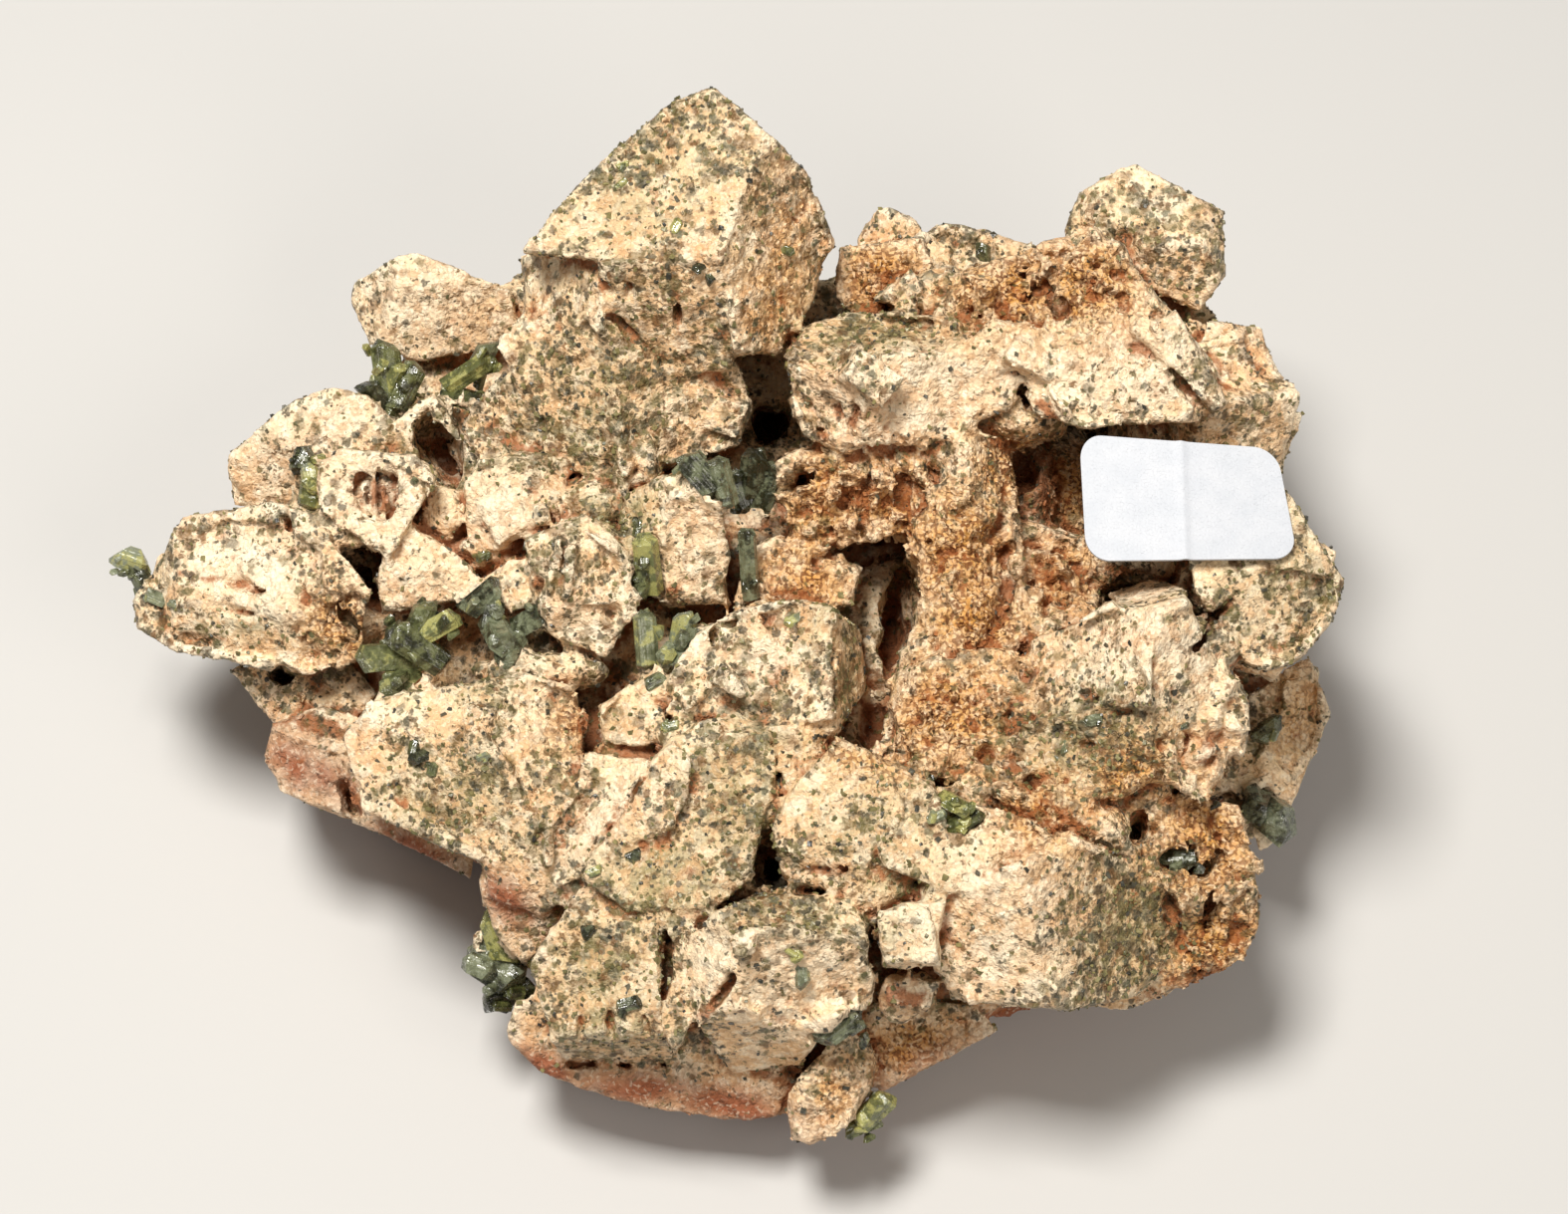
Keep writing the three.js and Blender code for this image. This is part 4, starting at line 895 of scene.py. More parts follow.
@dataclass
class MeshParts:
    """A mesh in millimetres with values at its vertices."""

    points: Array
    faces: Array
    values: dict[str, Array] = field(default_factory=dict)

    @classmethod
    def joined(cls, parts: Sequence["MeshParts"]) -> "MeshParts":
        """Several meshes with the same kind of faces and values, as one."""
        starts = np.cumsum([0] + [len(p.points) for p in parts[:-1]])
        faces = np.concatenate([p.faces + s for p, s in zip(parts, starts)])
        values = {k: np.concatenate([p.values[k] for p in parts]) for k in parts[0].values}
        return cls(np.concatenate([p.points for p in parts]), faces, values)

    def piece(self, name: str, finish: Finish, slot: str, smooth: bool) -> bpy.types.Object:
        """Makes the Blender object.

        Args:
            name: its name.
            finish: its material.
            slot: not used.
            smooth: whether its faces are shaded smoothly.

        Returns:
            The object, riding on the specimen's body. A face row that repeats its last number is a
            triangle.
        """
        mesh = bpy.data.meshes.new(name)
        faces = self.faces
        used = np.ones(faces.shape, bool)
        used[:, 3] = faces[:, 3] != faces[:, 2]
        sizes = used.sum(1)
        corners = faces[used]
        mesh.vertices.add(len(self.points))
        mesh.vertices.foreach_set("co", (self.points * MM).astype(np.float32).ravel())
        mesh.loops.add(len(corners))
        mesh.loops.foreach_set("vertex_index", corners.astype(np.int32))
        mesh.polygons.add(len(faces))
        starts = np.concatenate([[0], np.cumsum(sizes)[:-1]])
        mesh.polygons.foreach_set("loop_start", starts.astype(np.int32))
        mesh.polygons.foreach_set("use_smooth", np.full(len(faces), smooth))
        mesh.update(calc_edges=True)
        mesh.validate()
        for label, value in self.values.items():
            stored = mesh.attributes.new(label, "FLOAT", "POINT")
            stored.data.foreach_set("value", value.astype(np.float32))
        mesh.materials.append(finish.material)
        made = bpy.data.objects.new(name, mesh)
        bpy.context.scene.collection.objects.link(made)
        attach(made, BODY)
        triangles = int((sizes - 2).sum())
        log.info("%s: %d triangles", name, triangles)
        return made


def node_mesh(name: str) -> tuple[Array, Array]:
    """A CAD node's vertices in millimetres and its triangles."""
    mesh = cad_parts[name].data
    mesh.calc_loop_triangles()
    points = np.empty(len(mesh.vertices) * 3, np.float32)
    mesh.vertices.foreach_get("co", points)
    triangles = np.empty(len(mesh.loop_triangles) * 3, np.int32)
    mesh.loop_triangles.foreach_get("vertices", triangles)
    return points.reshape(-1, 3) / MM, triangles.reshape(-1, 3)


def table(kind: type, rows: Sequence[tuple]) -> tuple:
    """One object of a class for each row of its values."""
    return tuple(kind(*row) for row in rows)


@dataclass(frozen=True)
class Spot:
    """A soft patch of the picture: its place, half width, strength, half height (0: as wide) and turn."""

    across: float
    rise: float
    radius: float
    strength: float = 1.0
    tall: float = 0.0
    turn: float = 0.0

    @property
    def axes(self) -> Array:
        """Unit rows: along its width, its height and towards the eye."""
        return np.array([*rotated(RIGHT, VIEW.up, self.turn), VIEW.to_eye])

    @property
    def half(self) -> Array:
        """Half sizes along the axes."""
        tall = self.tall or self.radius
        return np.array([self.radius, tall, max(self.radius, tall)])


@dataclass(frozen=True)
class Cavity:
    """An opening in the stone, seen in the picture: its place, half width and height, depth and tilt."""

    across: float
    rise: float
    wide: float
    tall: float
    depth: float
    tilt: float = 0.0
    square: bool = False


@dataclass(frozen=True)
class Shard:
    """A small crystal on a face: its place in the picture, half sizes, turn and the tip of its face.

    The face leans to the right and upwards by `tip`, in degrees, and stands `proud` of the stone.
    """

    across: float
    rise: float
    half: Triple
    turn: float = 0.0
    tip: tuple[float, float] = (0.0, 0.0)
    proud: float = 0.6

    @property
    def axes(self) -> Array:
        """Unit rows: along its width, its height and out of its face."""
        right, up = rotated(RIGHT, VIEW.up, self.turn)
        right, out = rotated(right, VIEW.to_eye, -self.tip[0])
        up, out = rotated(up, out, -self.tip[1])
        return np.array([right, up, out])


@dataclass(frozen=True)
class Face:
    """A flat face of a block: its corners in the picture, each with how far it stands off the stone."""

    corners: tuple[Triple, ...]
    deep: float = 4.0


@dataclass(frozen=True)
class Mound:
    """Stone that fills a gap: its place in the picture, half sizes, turn, and how deep its top lies."""

    across: float
    rise: float
    half: Triple
    turn: float = 0.0
    below: float = 0.8


@dataclass
class FeldsparRock:
    """The cluster of feldspar blocks, weathered from the CAD solid on a grid of distances.

    Lengths are millimetres. A noise in layers is given by the (cell, strength) of each.
    """

    step: float = 0.34
    band: float = 3.4
    margin: float = 2.4
    seed: int = 11
    slabs: tuple[str, ...] = (
        "far_left", "left", "inner_left", "middle_left", "middle", "middle_right", "inner_right", "right",
        "far_right",
    )
    slab_overlap: float = 0.5
    seam_radius: float = 1.9
    seam_depth: float = 1.9
    seam_layers: Layers = ((3.4, 0.5), (1.4, 0.3))
    seat_radius: float = 0.6
    seat_reach: float = 1.4
    prism_gap: float = 0.05
    label_gap: float = 0.2
    chip_count: int = 380
    chip_size: tuple[float, float] = (0.4, 1.5)
    chip_noises: tuple[ChipNoise, ...] = (
        ChipNoise(3.4, 81, 0.13, 0.045), ChipNoise(1.6, 82, 0.18, 0.07), ChipNoise(0.85, 83, 0.2, 0.09),
    )
    weathered_depth: float = 1.3
    wave_layers: Layers = ((6.0, 0.12), (2.6, 0.06), (0.8, 0.05))
    sponge_layers: Layers = ((1.5, 1.0), (0.8, 0.8))
    envelope_radius: float = 3.0
    mound_layers: Layers = ((3.0, 0.5), (1.4, 0.3))
    hollow_radius: float = 1.6
    near_radius: float = 1.2
    wide_radius: float = 4.2

    mounds: tuple[Mound, ...] = table(Mound, (
        (23.6, -16.9, (7.6, 3, 4), -25, 0.7),
        (30.6, -16.2, (3.4, 2.6, 4), 0, 1),
        (17.2, -15.6, (3.4, 1.8, 4), -10, 0.5),
        (20.5, -1.4, (5.4, 3.8, 5), 0, 0.7),
        (23.2, -1.6, (4, 2, 4), 24, 0.5),
        (21.4, 3.6, (4, 4, 5), 0, 0.6),
        (23, 9.6, (5, 7, 6), 0, -4.6),
        (21, 8, (2.6, 7.6, 6), 0, -6.4),
        (20.2, 15.6, (4.2, 2.2, 4), 0, 0.8),
        (36.3, -2.6, (2.8, 2.2, 3), -40, 0.7),
        (30.6, 3.4, (4.4, 1.6, 4), 0, -2.4),
        (27.4, 3.4, (2.6, 2, 4), 30, -0.6),
        (11, -32.2, (2.6, 2, 3), 0, 1.4),
        (-12.2, -12.2, (3.2, 1.4, 3), 0, 0.9),
        (2.2, -13.6, (3, 1.4, 3), 45, 1.2),
        (-27.6, 8, (2.6, 2.4, 3), 0, 1.2),
        (12.6, -3.4, (2.6, 3.6, 4), 20, 0.8),
        (-18.4, 8.3, (1.6, 1.4, 3), 0, 0.6),
        (13.6, 27.2, (2.4, 1.8, 4), 0, 1),
        (-0.5, -17.2, (1.1, 2.6, 3), -14, 0.8),
        (14.2, -27.6, (1.5, 3.4, 3), 0, 0.3),
        (11.4, 10.4, (2.4, 2.2, 4), 0, 0),
        (6.7, 9.4, (2.4, 2, 4), 0, 0),
        (14.4, -14.2, (1.8, 1, 3), -10, 0.5),
        (13.2, -24, (1.8, 0.9, 3), -24, 0.4),
        (-23.6, 5.2, (3.4, 1.9, 3), 0, 1.5),
        (-12, 10.8, (2.2, 1.2, 3), 20, 1),
        (-41.4, 7.2, (1.4, 1.2, 3), 0, 1),
        (-20, 2.3, (1, 1, 2), 0, 0.9),
        (32.8, -14, (1.6, 1, 3), 20, 0.6),
        (8.6, -23.4, (4.2, 1.7, 3), 0, 0.7),
        (12.2, -17.8, (2.4, 3.6, 3), 0, 0.4),
        (-15.6, 8.6, (3.4, 2.4, 3), -20, 0.5),
        (-4.5, -10.6, (5.6, 1.8, 3), 0, 0.3),
        (-20, -5.2, (6, 1.8, 3), 0, 1.2),
        (31, -15.5, (3, 1.8, 3), 30, 1.2),
        (25, 14.4, (3.6, 1.8, 4), -20, 1.2),
    ))
    faces: tuple[Face, ...] = (
        # The small whitish block and the one below it
        Face(((-26.3, 11, -0.6), (-22.5, 12.7, -0.2), (-20.3, 12.4, 0.3), (-20.3, 7.4, 0.3),
              (-23.5, 5.2, -0.4))),
        Face(((-20.3, 12.4, 0.3), (-17.2, 11.8, -1), (-17.8, 9.8, -1), (-19.6, 7.2, -0.2),
              (-20.3, 7.4, 0.3))),
        Face(((-16.8, 6.8, 0), (-12.9, 4, -0.8), (-11.9, 1.2, -0.8), (-16, 0.3, 0.4),
              (-17.4, 3, 0.3))),
        Face(((-19.2, -0.4, 0.1), (-16, 0.3, 0.4), (-11.9, 0.8, -0.6), (-14.8, -4, -2),
              (-17.6, -3.8, -2))),
        # The block with the olive top
        Face(((-12.8, 9.4, -0.9), (-9.6, 10.8, -0.6), (-8.9, 9.8, 0.3), (-9.3, 5.4, 0.3),
              (-12.8, 6, -1.2))),
        Face(((-8.9, 9.8, 0.3), (-4.6, 8.2, -0.2), (-4.2, 0.6, -0.4), (-9.6, 0.6, -0.6), (-9.3, 5.4, 0.3))),
        # The middle block: top, right side and the side below
        Face(((-6.2, -1.4, -0.5), (1.8, 0.3, -0.2), (5, -0.2, 0.5), (4.5, -9.2, 0.5),
              (-0.4, -10.2, 0))),
        Face(((5, -0.2, 0.5), (7, -1.6, -1.2), (7.6, -6.8, -1.8), (5.6, -9.4, -0.6), (4.5, -9.2, 0.5))),
        Face(((-0.8, -9.9, 0), (4.5, -9.2, 0.5), (5.6, -9.8, 0), (3, -12.8, -1.4),
              (0.4, -14.6, -1.5))),
        Face(((-14.6, -9, 0.1), (-12.4, -6.4, 0.1), (-8.8, -8.6, 0.1), (-10.8, -11.6, -0.4),
              (-14.2, -11.4, -0.8))),
        # The big left block on either side of its crest
        Face(((-24.5, -10.2, 0.4), (-21.6, -5.6, -0.6), (-16.6, -7.2, -1.6), (-15.9, -12, -2.2),
              (-18, -16.8, -1.4), (-20.2, -19, 0.5))),
        Face(((-31, -10, -0.3), (-24.5, -10.2, 0.4), (-22, -13, 0.8), (-20.2, -19, 0.5),
              (-21.4, -22, -0.6), (-26, -19.5, -0.8), (-32, -16, -0.8))),
        # The white strip, and the long block with the sharp left edge beside it
        Face(((-18.6, -18.2, -0.8), (-13.6, -12.2, -1), (-10.4, -12.4, -0.7),
              (-14.6, -21.8, -0.4), (-18.8, -23.4, -0.8))),
        Face(((-7.4, -10.8, 0.2), (-1.2, -11.2, 0), (-0.2, -14, -0.4), (-2.3, -21.8, -0.5),
              (-6.2, -25.2, 0.1), (-12, -25.4, 0.4), (-16.4, -22.6, 0.8), (-15.2, -19.4, 0.8))),
        Face(((-8.7, -10.9, 0.2), (-7.2, -12.4, 0.4), (-7.2, -16, 0.4), (-9, -18.6, 0.6),
              (-15, -21.2, 0.9), (-16, -21.6, 0.9), (-11.8, -14, 0.9))),
        # The block right of the middle
        Face(((-0.7, -18.6, 0.2), (8.4, -19.6, 0.5), (7.2, -22.8, -1), (1, -23.4, -1.2))),
        Face(((-0.7, -18.6, -0.2), (0.6, -15.6, 0), (4.7, -11.3, -0.2), (10, -13.8, 0),
              (11, -17.4, 0.2), (7.6, -20.2, 0.5), (0.2, -20.4, 0.5))),
        # The front blocks
        Face(((-19, -35.6, 0.2), (-9.4, -35.6, 0.2), (-8.4, -38, -1), (-17.6, -38.2, -1))),
        Face(((-20.4, -29.6, -0.5), (-17.4, -25.8, 0.2), (-10, -26, 0.3), (-9.6, -35.6, 0.3),
              (-18.8, -35.6, 0.2))),
        Face(((-8.6, -28, -1), (-4.8, -25, -0.3), (-2.9, -26, 0.5), (-3.2, -32.6, 0.6),
              (-6.6, -34.4, -0.4))),
        Face(((-6.4, -34.6, -0.3), (-3.2, -32.8, 0.6), (4.2, -34.4, 0.2), (2, -38.2, -1.4),
              (-3.8, -38.8, -1.6))),
        Face(((-4.6, -25, -0.5), (-2, -23.9, -0.7), (1, -23.6, -0.8), (5.6, -24, -0.8),
              (7.8, -26.6, -0.5), (6.6, -28, 0.5), (-3, -27, 0.5))),
        Face(((-3.3, -26.6, 0.6), (1, -26.2, 0.7), (6.6, -28, 0.6), (8.4, -30.8, 0.1),
              (7.8, -33, -0.2), (0, -35, 0.6), (-3.2, -32.8, 0.6))),
        Face(((1, -41.8, 0), (2.8, -38.2, 0.4), (5.2, -36.6, 0.4), (7, -38.6, 0),
              (6.4, -42, -0.4), (2.8, -44.8, -0.2))),
        # The tall block: its upper left, its front and its right side
        Face(((-20.6, 30.3, -0.2), (-16.6, 35.2, -0.4), (-10.4, 40.2, -0.4), (-6.2, 42.4, -0.5),
              (-3.4, 40.4, -0.2), (-1.6, 37.6, 0.3), (-4.2, 29.6, 0.5), (-15, 29.2, 0.3))),
        Face(((-21.4, 29.6, -0.4), (-14.6, 29.2, 0.3), (-13.8, 23.4, -0.5), (-20.6, 21, -1.2))),
        Face(((-13.6, 20, 0.2), (-14.4, 24, -0.5), (-4.8, 19.6, -0.6), (-2.6, 17.6, -0.9),
              (-2.6, 15.4, -1.1), (-6, 13, -1), (-12.2, 12.8, -0.2), (-12.7, 15, 0.2))),
        Face(((-15, 29.2, 0.3), (-4.4, 29.6, 0.5), (-3.9, 24, 0.3), (-3.8, 20.2, 0),
              (-7.6, 19.4, -0.2), (-14.2, 24, -0.2))),
        Face(((-4.2, 29.6, 0.5), (-1.6, 37.6, 0.3), (0.4, 38.4, -0.5), (3, 34.5, -1.6),
              (4.2, 30.6, -2.2), (3, 25.4, -1.8), (0, 21.4, -1.2), (-3.8, 21.6, -0.3),
              (-4.2, 24, 0.1))),
        # The block below it
        Face(((-15.8, 24.2, -0.2), (-24, 18.6, -0.4), (-26.4, 15.4, -0.8), (-22, 13.4, -0.6),
              (-14.6, 12.6, 0), (-12.6, 15, 0.3), (-13.6, 20, 0.3))),
        # The upper block: olive top, whitish left front and right front
        Face(((0.6, 21.2, -0.4), (2.8, 23.8, -1.2), (6, 24.8, -1.6), (13.6, 24, -1.4),
              (14.2, 21.4, -0.1), (4.6, 19.6, 0.3))),
        Face(((0.7, 20.8, -0.5), (4.6, 19.6, 0.4), (7.6, 17.2, 0.4), (7.8, 14.2, -0.4),
              (3.4, 14.9, -1), (1.7, 17.2, -0.9))),
        Face(((7.8, 14.2, -0.4), (7.6, 17.2, 0.4), (8.6, 21.6, 0.3), (14, 21.6, -0.2),
              (16, 19, 0), (15.6, 15.4, -0.4), (13.5, 13.6, -0.8))),
        Face(((23.2, 18.8, -0.6), (26, 21.4, -0.2), (31.6, 20.4, 0), (35, 16.8, -0.4),
              (34.4, 15.6, -0.6), (25.4, 15.8, -0.5))),
        # The right block: white cap, pinkish front, striated right side and olive foot
        Face(((27.8, 1.2, -0.4), (31.2, 2.6, -0.8), (34.3, 1.8, -0.6), (34.4, 0.1, 0.4), (28.6, 0, 0.3))),
        Face(((21.2, -2.6, -0.6), (28.6, 0, 0.3), (31.4, 0.1, 0.5), (31.6, -8.2, 0.6),
              (20.4, -9.6, 0.2))),
        Face(((31.4, 0.1, 0.5), (34.4, 0.1, 0.2), (37.6, -6.6, -0.6), (38, -8.6, -0.8),
              (31.6, -13.8, -0.6), (31.6, -8.2, 0.6))),
        Face(((20.4, -9.6, 0.2), (25.6, -8.4, 0.5), (31.6, -8.2, 0.6), (31.6, -11.4, -0.4),
              (27.4, -14.4, -1.1), (21.2, -14.8, -0.9))),
        Face(((36.4, 3.2, -0.2), (43.2, 3.2, -0.2), (46.4, 2.8, -0.8), (46.6, 0.4, -0.8),
              (42.8, -4.2, -1.4), (40.6, -4, -1.1), (36.6, -0.4, -0.3))),
        # The slope from the ochre wall into the hollow at its right
        Face(((15.6, 14.6, 0), (19.6, 14, -3), (19.6, -1, -3), (16.4, -3.2, 0))),
        Face(((42.4, -5.8, -0.3), (45, -5.8, -0.8), (45.2, -10, -0.9), (43, -13.8, -0.8),
              (41, -12.2, 0))),
        # The big block at the front right
        Face(((9, -19.6, 0.2), (12.4, -15.4, -0.2), (19.8, -17, -0.4), (23.6, -20, -0.8),
              (20.8, -22, 0), (14.8, -24.2, -0.3), (9, -21.4, 0.1))),
        Face(((14.4, -24.2, -0.4), (20.6, -20.6, -0.1), (22.4, -26, 0.3), (24, -33.4, -0.3),
              (14.4, -32.8, -0.5), (13.4, -28.6, -0.5))),
        Face(((20.6, -20.4, -0.2), (30.6, -20.6, -0.5), (33.4, -24.4, -0.9), (33.6, -28.4, -0.9),
              (30.4, -32.4, -0.7), (24, -33.4, -0.4), (21, -25, 0.4))),
        # The left block on either side of its crest, the block with the square pit, and the one below it
        Face(((-50.2, 1, 0.3), (-49.3, 5.2, -0.5), (-46.5, 7.4, -1.1), (-41.5, 7, -0.9),
              (-38.2, 4.5, -0.6), (-37.6, -0.4, 0.1))),
        Face(((-50.2, 1, 0.3), (-37.6, -0.4, 0.1), (-35.8, -3.6, -0.7), (-39.5, -5, -1.4),
              (-46, -3.4, -1.4), (-50.4, -2.4, -1.1))),
        Face(((-37.2, 12.4, -0.3), (-32.6, 12.4, -0.3), (-29, 10.4, -0.6), (-31.6, 5, -0.4),
              (-36.8, 6.6, 0))),
        Face(((-34.3, -9.2, -0.5), (-31.8, -7.2, -0.9), (-28.6, -7, -0.8), (-26.5, -7.4, -0.6),
              (-24.5, -10.2, 0.4), (-31, -10, -0.1))),
    )
    shards: tuple[Shard, ...] = table(Shard, (
        (-2, -4.3, (2.5, 2.9, 2), 40, (0, 6), 1.3),
        (-2.2, -4.5, (3.1, 2.2, 2), -12, (4, 10), 1.2),
        (-7, -6.9, (1.3, 1.1, 1), 30, (10, 10), 0.6),
        (-18.8, 3.5, (0.45, 2.6, 1), -10, (20, 0), 0.9),
        (-17.3, 3.1, (0.5, 2.4, 1), -8, (-12, 0), 0.8),
        (-19.9, 4.6, (0.4, 1.5, 0.8), -16, (20, 0), 0.5),
        (-2.6, -27.9, (1.1, 1, 0.8), 8, (0, 12), 0.7),
        (-4.2, -29.6, (0.9, 0.9, 0.8), 20, (-14, 0), 0.5),
        (22.4, 3.6, (1.7, 1.6, 1.5), 30, (-10, 20), 0.8),
        (24.6, 1.4, (1.3, 1.2, 1.2), 10, (16, 10), 0.6),
        (21.6, 1.2, (1.2, 1, 1), -20, (0, 20), 0.6),
        (7.8, 19.4, (2.3, 1.5, 1.5), -38, (8, 12), 1.1),
        (5.9, 20.7, (0.8, 1.8, 1.3), -32, (-30, 6), 0.7),
        (-16, -1.6, (2.8, 1.6, 1.2), -28, (6, -18), 0.6),
        (-13, 13.6, (0.8, 2.6, 1.2), 14, (24, 0), 0.9),
        (-11, 12.6, (1, 2.2, 1.2), 8, (-20, 0), 0.7),
        (10.9, -27.3, (2.3, 2.4, 1.8), 8, (-6, 10), 0.9),
        (36.4, -9, (0.8, 3.6, 1.2), -24, (-20, 0), 0.7),
        (37.8, 20.8, (2, 2.2, 1.4), 20, (14, 6), 0.6),
        (31.6, 22.6, (2.4, 1, 1.2), -42, (0, 24), 0.7),
        (22.6, 21, (3.2, 2, 1.4), -30, (10, 20), 0.6),
        (-20, 22, (3, 2.6, 1.4), 30, (-16, 10), 0.4),
        (-6, 16.8, (3.4, 1.6, 1.2), -20, (0, -16), 0.5),
    ))
    lamellae: tuple[Shard, ...] = table(Shard, (
        (-34.6, 9, (0.18, 1.7, 1), 4, (0, 0), 1.3),
        (-33.6, 9.2, (0.2, 1.8, 1), 2, (0, 0), 1.5),
        (-32.9, 9, (0.16, 1.6, 1), -2, (0, 0), 1.2),
    ))

    cavities: tuple[Cavity, ...] = table(Cavity, (
        (10.2, -1, 1.7, 5.4, 12, -8),
        (8.2, -9.4, 1.7, 1.7, 6),
        (20.8, 12.4, 1.1, 2.6, 3, 6),
        (-3.6, 4.6, 0.5, 4.6, 8),
        (-0.6, 15.6, 1.8, 1.8, 9, 30),
        (-28.2, 13.2, 1.5, 3.8, 8, 25),
        (-0.6, -22, 0.8, 1.4, 5),
        (-8.2, 24.6, 0.36, 4.2, 0.8, 8),
        (-14.5, 27, 0.4, 0.8, 0.8, 12),
        (-12.5, 26.8, 0.35, 0.7, 0.8, 5),
        (-33.6, 9.5, 1.9, 1.8, 1.7, -6, True),
        (-41.2, -5.6, 1.3, 0.7, 4, -30),
        (-35.7, -16.2, 0.4, 1.7, 3, 25),
        (33.6, -20.9, 2.8, 1.1, 4, -8),
        (30.2, -18.4, 0.7, 1.2, 5),
        (1.9, 10.8, 1.6, 0.8, 1.4, 4, True),
        (6.7, 9.4, 1.3, 1, 1.5),
        (11.4, 10.4, 1, 1.1, 1.7),
        (-35.8, -1, 0.7, 2.1, 4, 20),
        (36.2, -25.2, 0.5, 1.2, 3),
        (36, -1.5, 0.3, 4, 2.5, -38),
        (-45.3, 2.1, 4.6, 0.34, 0.6, -11),
        (-46, -0.1, 2.6, 0.3, 0.6, -8),
        (26.2, -7.4, 1.2, 0.3, 0.8, -30),
        (30.2, -6, 0.3, 0.9, 0.8, 10),
        (-11.9, 23, 2.8, 0.34, 0.7, -38),
        (-9.3, -29.6, 0.45, 2.8, 2.2, -8),
        (-4.6, -32.2, 0.34, 2.2, 1.4, -40),
        (-16.3, -35.4, 0.32, 2, 0.8, 14),
        (-13.5, -35.6, 0.32, 2.2, 0.9, 12),
        (-10.9, -35.4, 0.32, 2, 0.8, 10),
        (3.6, -21.8, 2.4, 0.3, 0.8, 4),
        (-13.3, -17.2, 0.32, 4.6, 1.3, -36),
        (6.5, 16, 0.34, 1.2, 0.9, -24),
        (3.8, 14.8, 0.34, 1, 0.9, 30),
    ))
    pitted: tuple[Spot, ...] = table(Spot, (
        (3, 9.5, 3.6), (9.5, 11, 3.6), (6, 6.5, 3), (16, 27.5, 3.4),
        (22, 27, 3.6), (27, 29, 2.8), (36, -13, 3.4), (24.5, 3.5, 3.6),
        (14, -9.5, 4.6), (37, -22, 3.6), (17, 5, 4), (2, 15, 2.6),
        (37, -29, 3.4), (20, -11, 3.4), (-37, -1, 2.4),
    ))
    rng: np.random.Generator = field(init=False)
    volume: Volume = field(init=False)
    envelope: Volume = field(init=False)
    prisms: Volume = field(init=False)
    label: Volume = field(init=False)
    near_share: Array = field(init=False)
    wide_share: Array = field(init=False)

    def build(self) -> None:
        """Weathers the solid and keeps the result in `volume`."""
        points, triangles = node_mesh("feldspar_cluster")
        box = (points.min(0) - self.margin, points.max(0) + self.margin)
        self.rng = np.random.default_rng(self.seed)
        self.volume = Volume.of_mesh(points, triangles, self.step, self.band, box)
        self.fill_seams()
        covered = self.volume.closed(self.volume.values, self.envelope_radius)
        self.envelope = Volume(covered, self.volume.low, self.step, self.band)
        self.heap_mounds()
        self.cut_faces()
        self.close_seats(box)
        self.set_shards(self.shards)
        self.add_chips()
        self.cut_cavities()
        self.set_shards(self.lamellae)
        self.cut_pits()
        self.weather()
        floor = self.volume.low[2] + self.step * np.arange(self.volume.values.shape[2])
        self.volume.values = np.maximum(self.volume.values, -floor.astype(np.float32))

    def fill_seams(self) -> None:
        """Fills the narrow trenches between the blocks with crumbly stone, a little below their faces."""
        values = self.volume.values
        filled = self.volume.closed(values, self.seam_radius) + self.seam_depth
        chosen = (filled < 1.3) & (values > filled - 0.8)
        points = self.volume.points_where(chosen)
        filled[chosen] += layered(points, self.seam_layers, self.seed + 20)
        self.volume.values = np.minimum(values, filled)

    def heap_mounds(self) -> None:
        """Fills the gaps that are shallower in the picture: eggs below the envelope of the blocks."""
        places = np.array([[m.across, m.rise] for m in self.mounds])
        hits = self.envelope.first_hits(places)
        for mound, hit, line in zip(self.mounds, hits, VIEW.sight(places)):
            axes = Shard(0, 0, mound.half, mound.turn).axes
            middle = hit + line * (mound.below + mound.half[2])
            egg = egg_distance(np.array(mound.half), axes)

            def crumbly(local: Array, egg: Callable = egg, middle: Array = middle) -> Array:
                """The egg's distance with an uneven surface."""
                flat = (local + middle).reshape(-1, 3)
                uneven = layered(flat, self.mound_layers, self.seed + 30)
                return egg(local) + uneven.reshape(local.shape[:-1])

            self.volume.add(middle, max(mound.half) + 1.5, crumbly)

    def cut_faces(self) -> None:
        """Gives the blocks the flat faces that the picture shows.

        Inside a face's outline the stone above its plane goes and the gap below it is filled.
        """
        for face in self.faces:
            outline = np.array([corner[:2] for corner in face.corners])
            proud = np.array([corner[2:] for corner in face.corners])
            lines = VIEW.sight(outline)
            reach = np.linalg.norm(self.envelope.first_hits(outline) - VIEW.eye, axis=1, keepdims=True)
            reach = np.clip(reach, np.median(reach) - 7, np.median(reach) + 7) - proud
            places = VIEW.eye + lines * reach
            middle = places.mean(0)
            normal = np.linalg.svd(places - middle)[2][2]
            normal *= -np.sign(normal @ lines.mean(0))
            sides = np.cross(np.roll(places, -1, axis=0) - places, lines)
            sides /= np.linalg.norm(sides, axis=1, keepdims=True)
            ways = ((places - middle) * sides).sum(1)
            sides *= np.sign(ways)[:, None]
            slices, local = self.volume.window(middle, np.linalg.norm(places - middle, axis=1).max() + 2.5)
            above = local @ normal
            outside = np.max([local @ side - abs(way) for side, way in zip(sides, ways)], axis=0)
            values = np.maximum(self.volume.values[slices], np.minimum(above, -outside))
            solid = np.maximum(np.maximum(above, outside), -above - face.deep)
            self.volume.values[slices] = np.minimum(values, solid)

    def set_shards(self, shards: Sequence[Shard]) -> None:
        """Joins small crystals to the faces where the picture shows them."""
        hits = self.volume.first_hits(np.array([[s.across, s.rise] for s in shards]))
        for shard, hit in zip(shards, hits):
            axes = shard.axes
            half = np.array(shard.half)
            middle = hit + axes[2] * (shard.proud - half[2])
            self.volume.add(middle, np.linalg.norm(half) + 1.2, box_distance(half, axes))

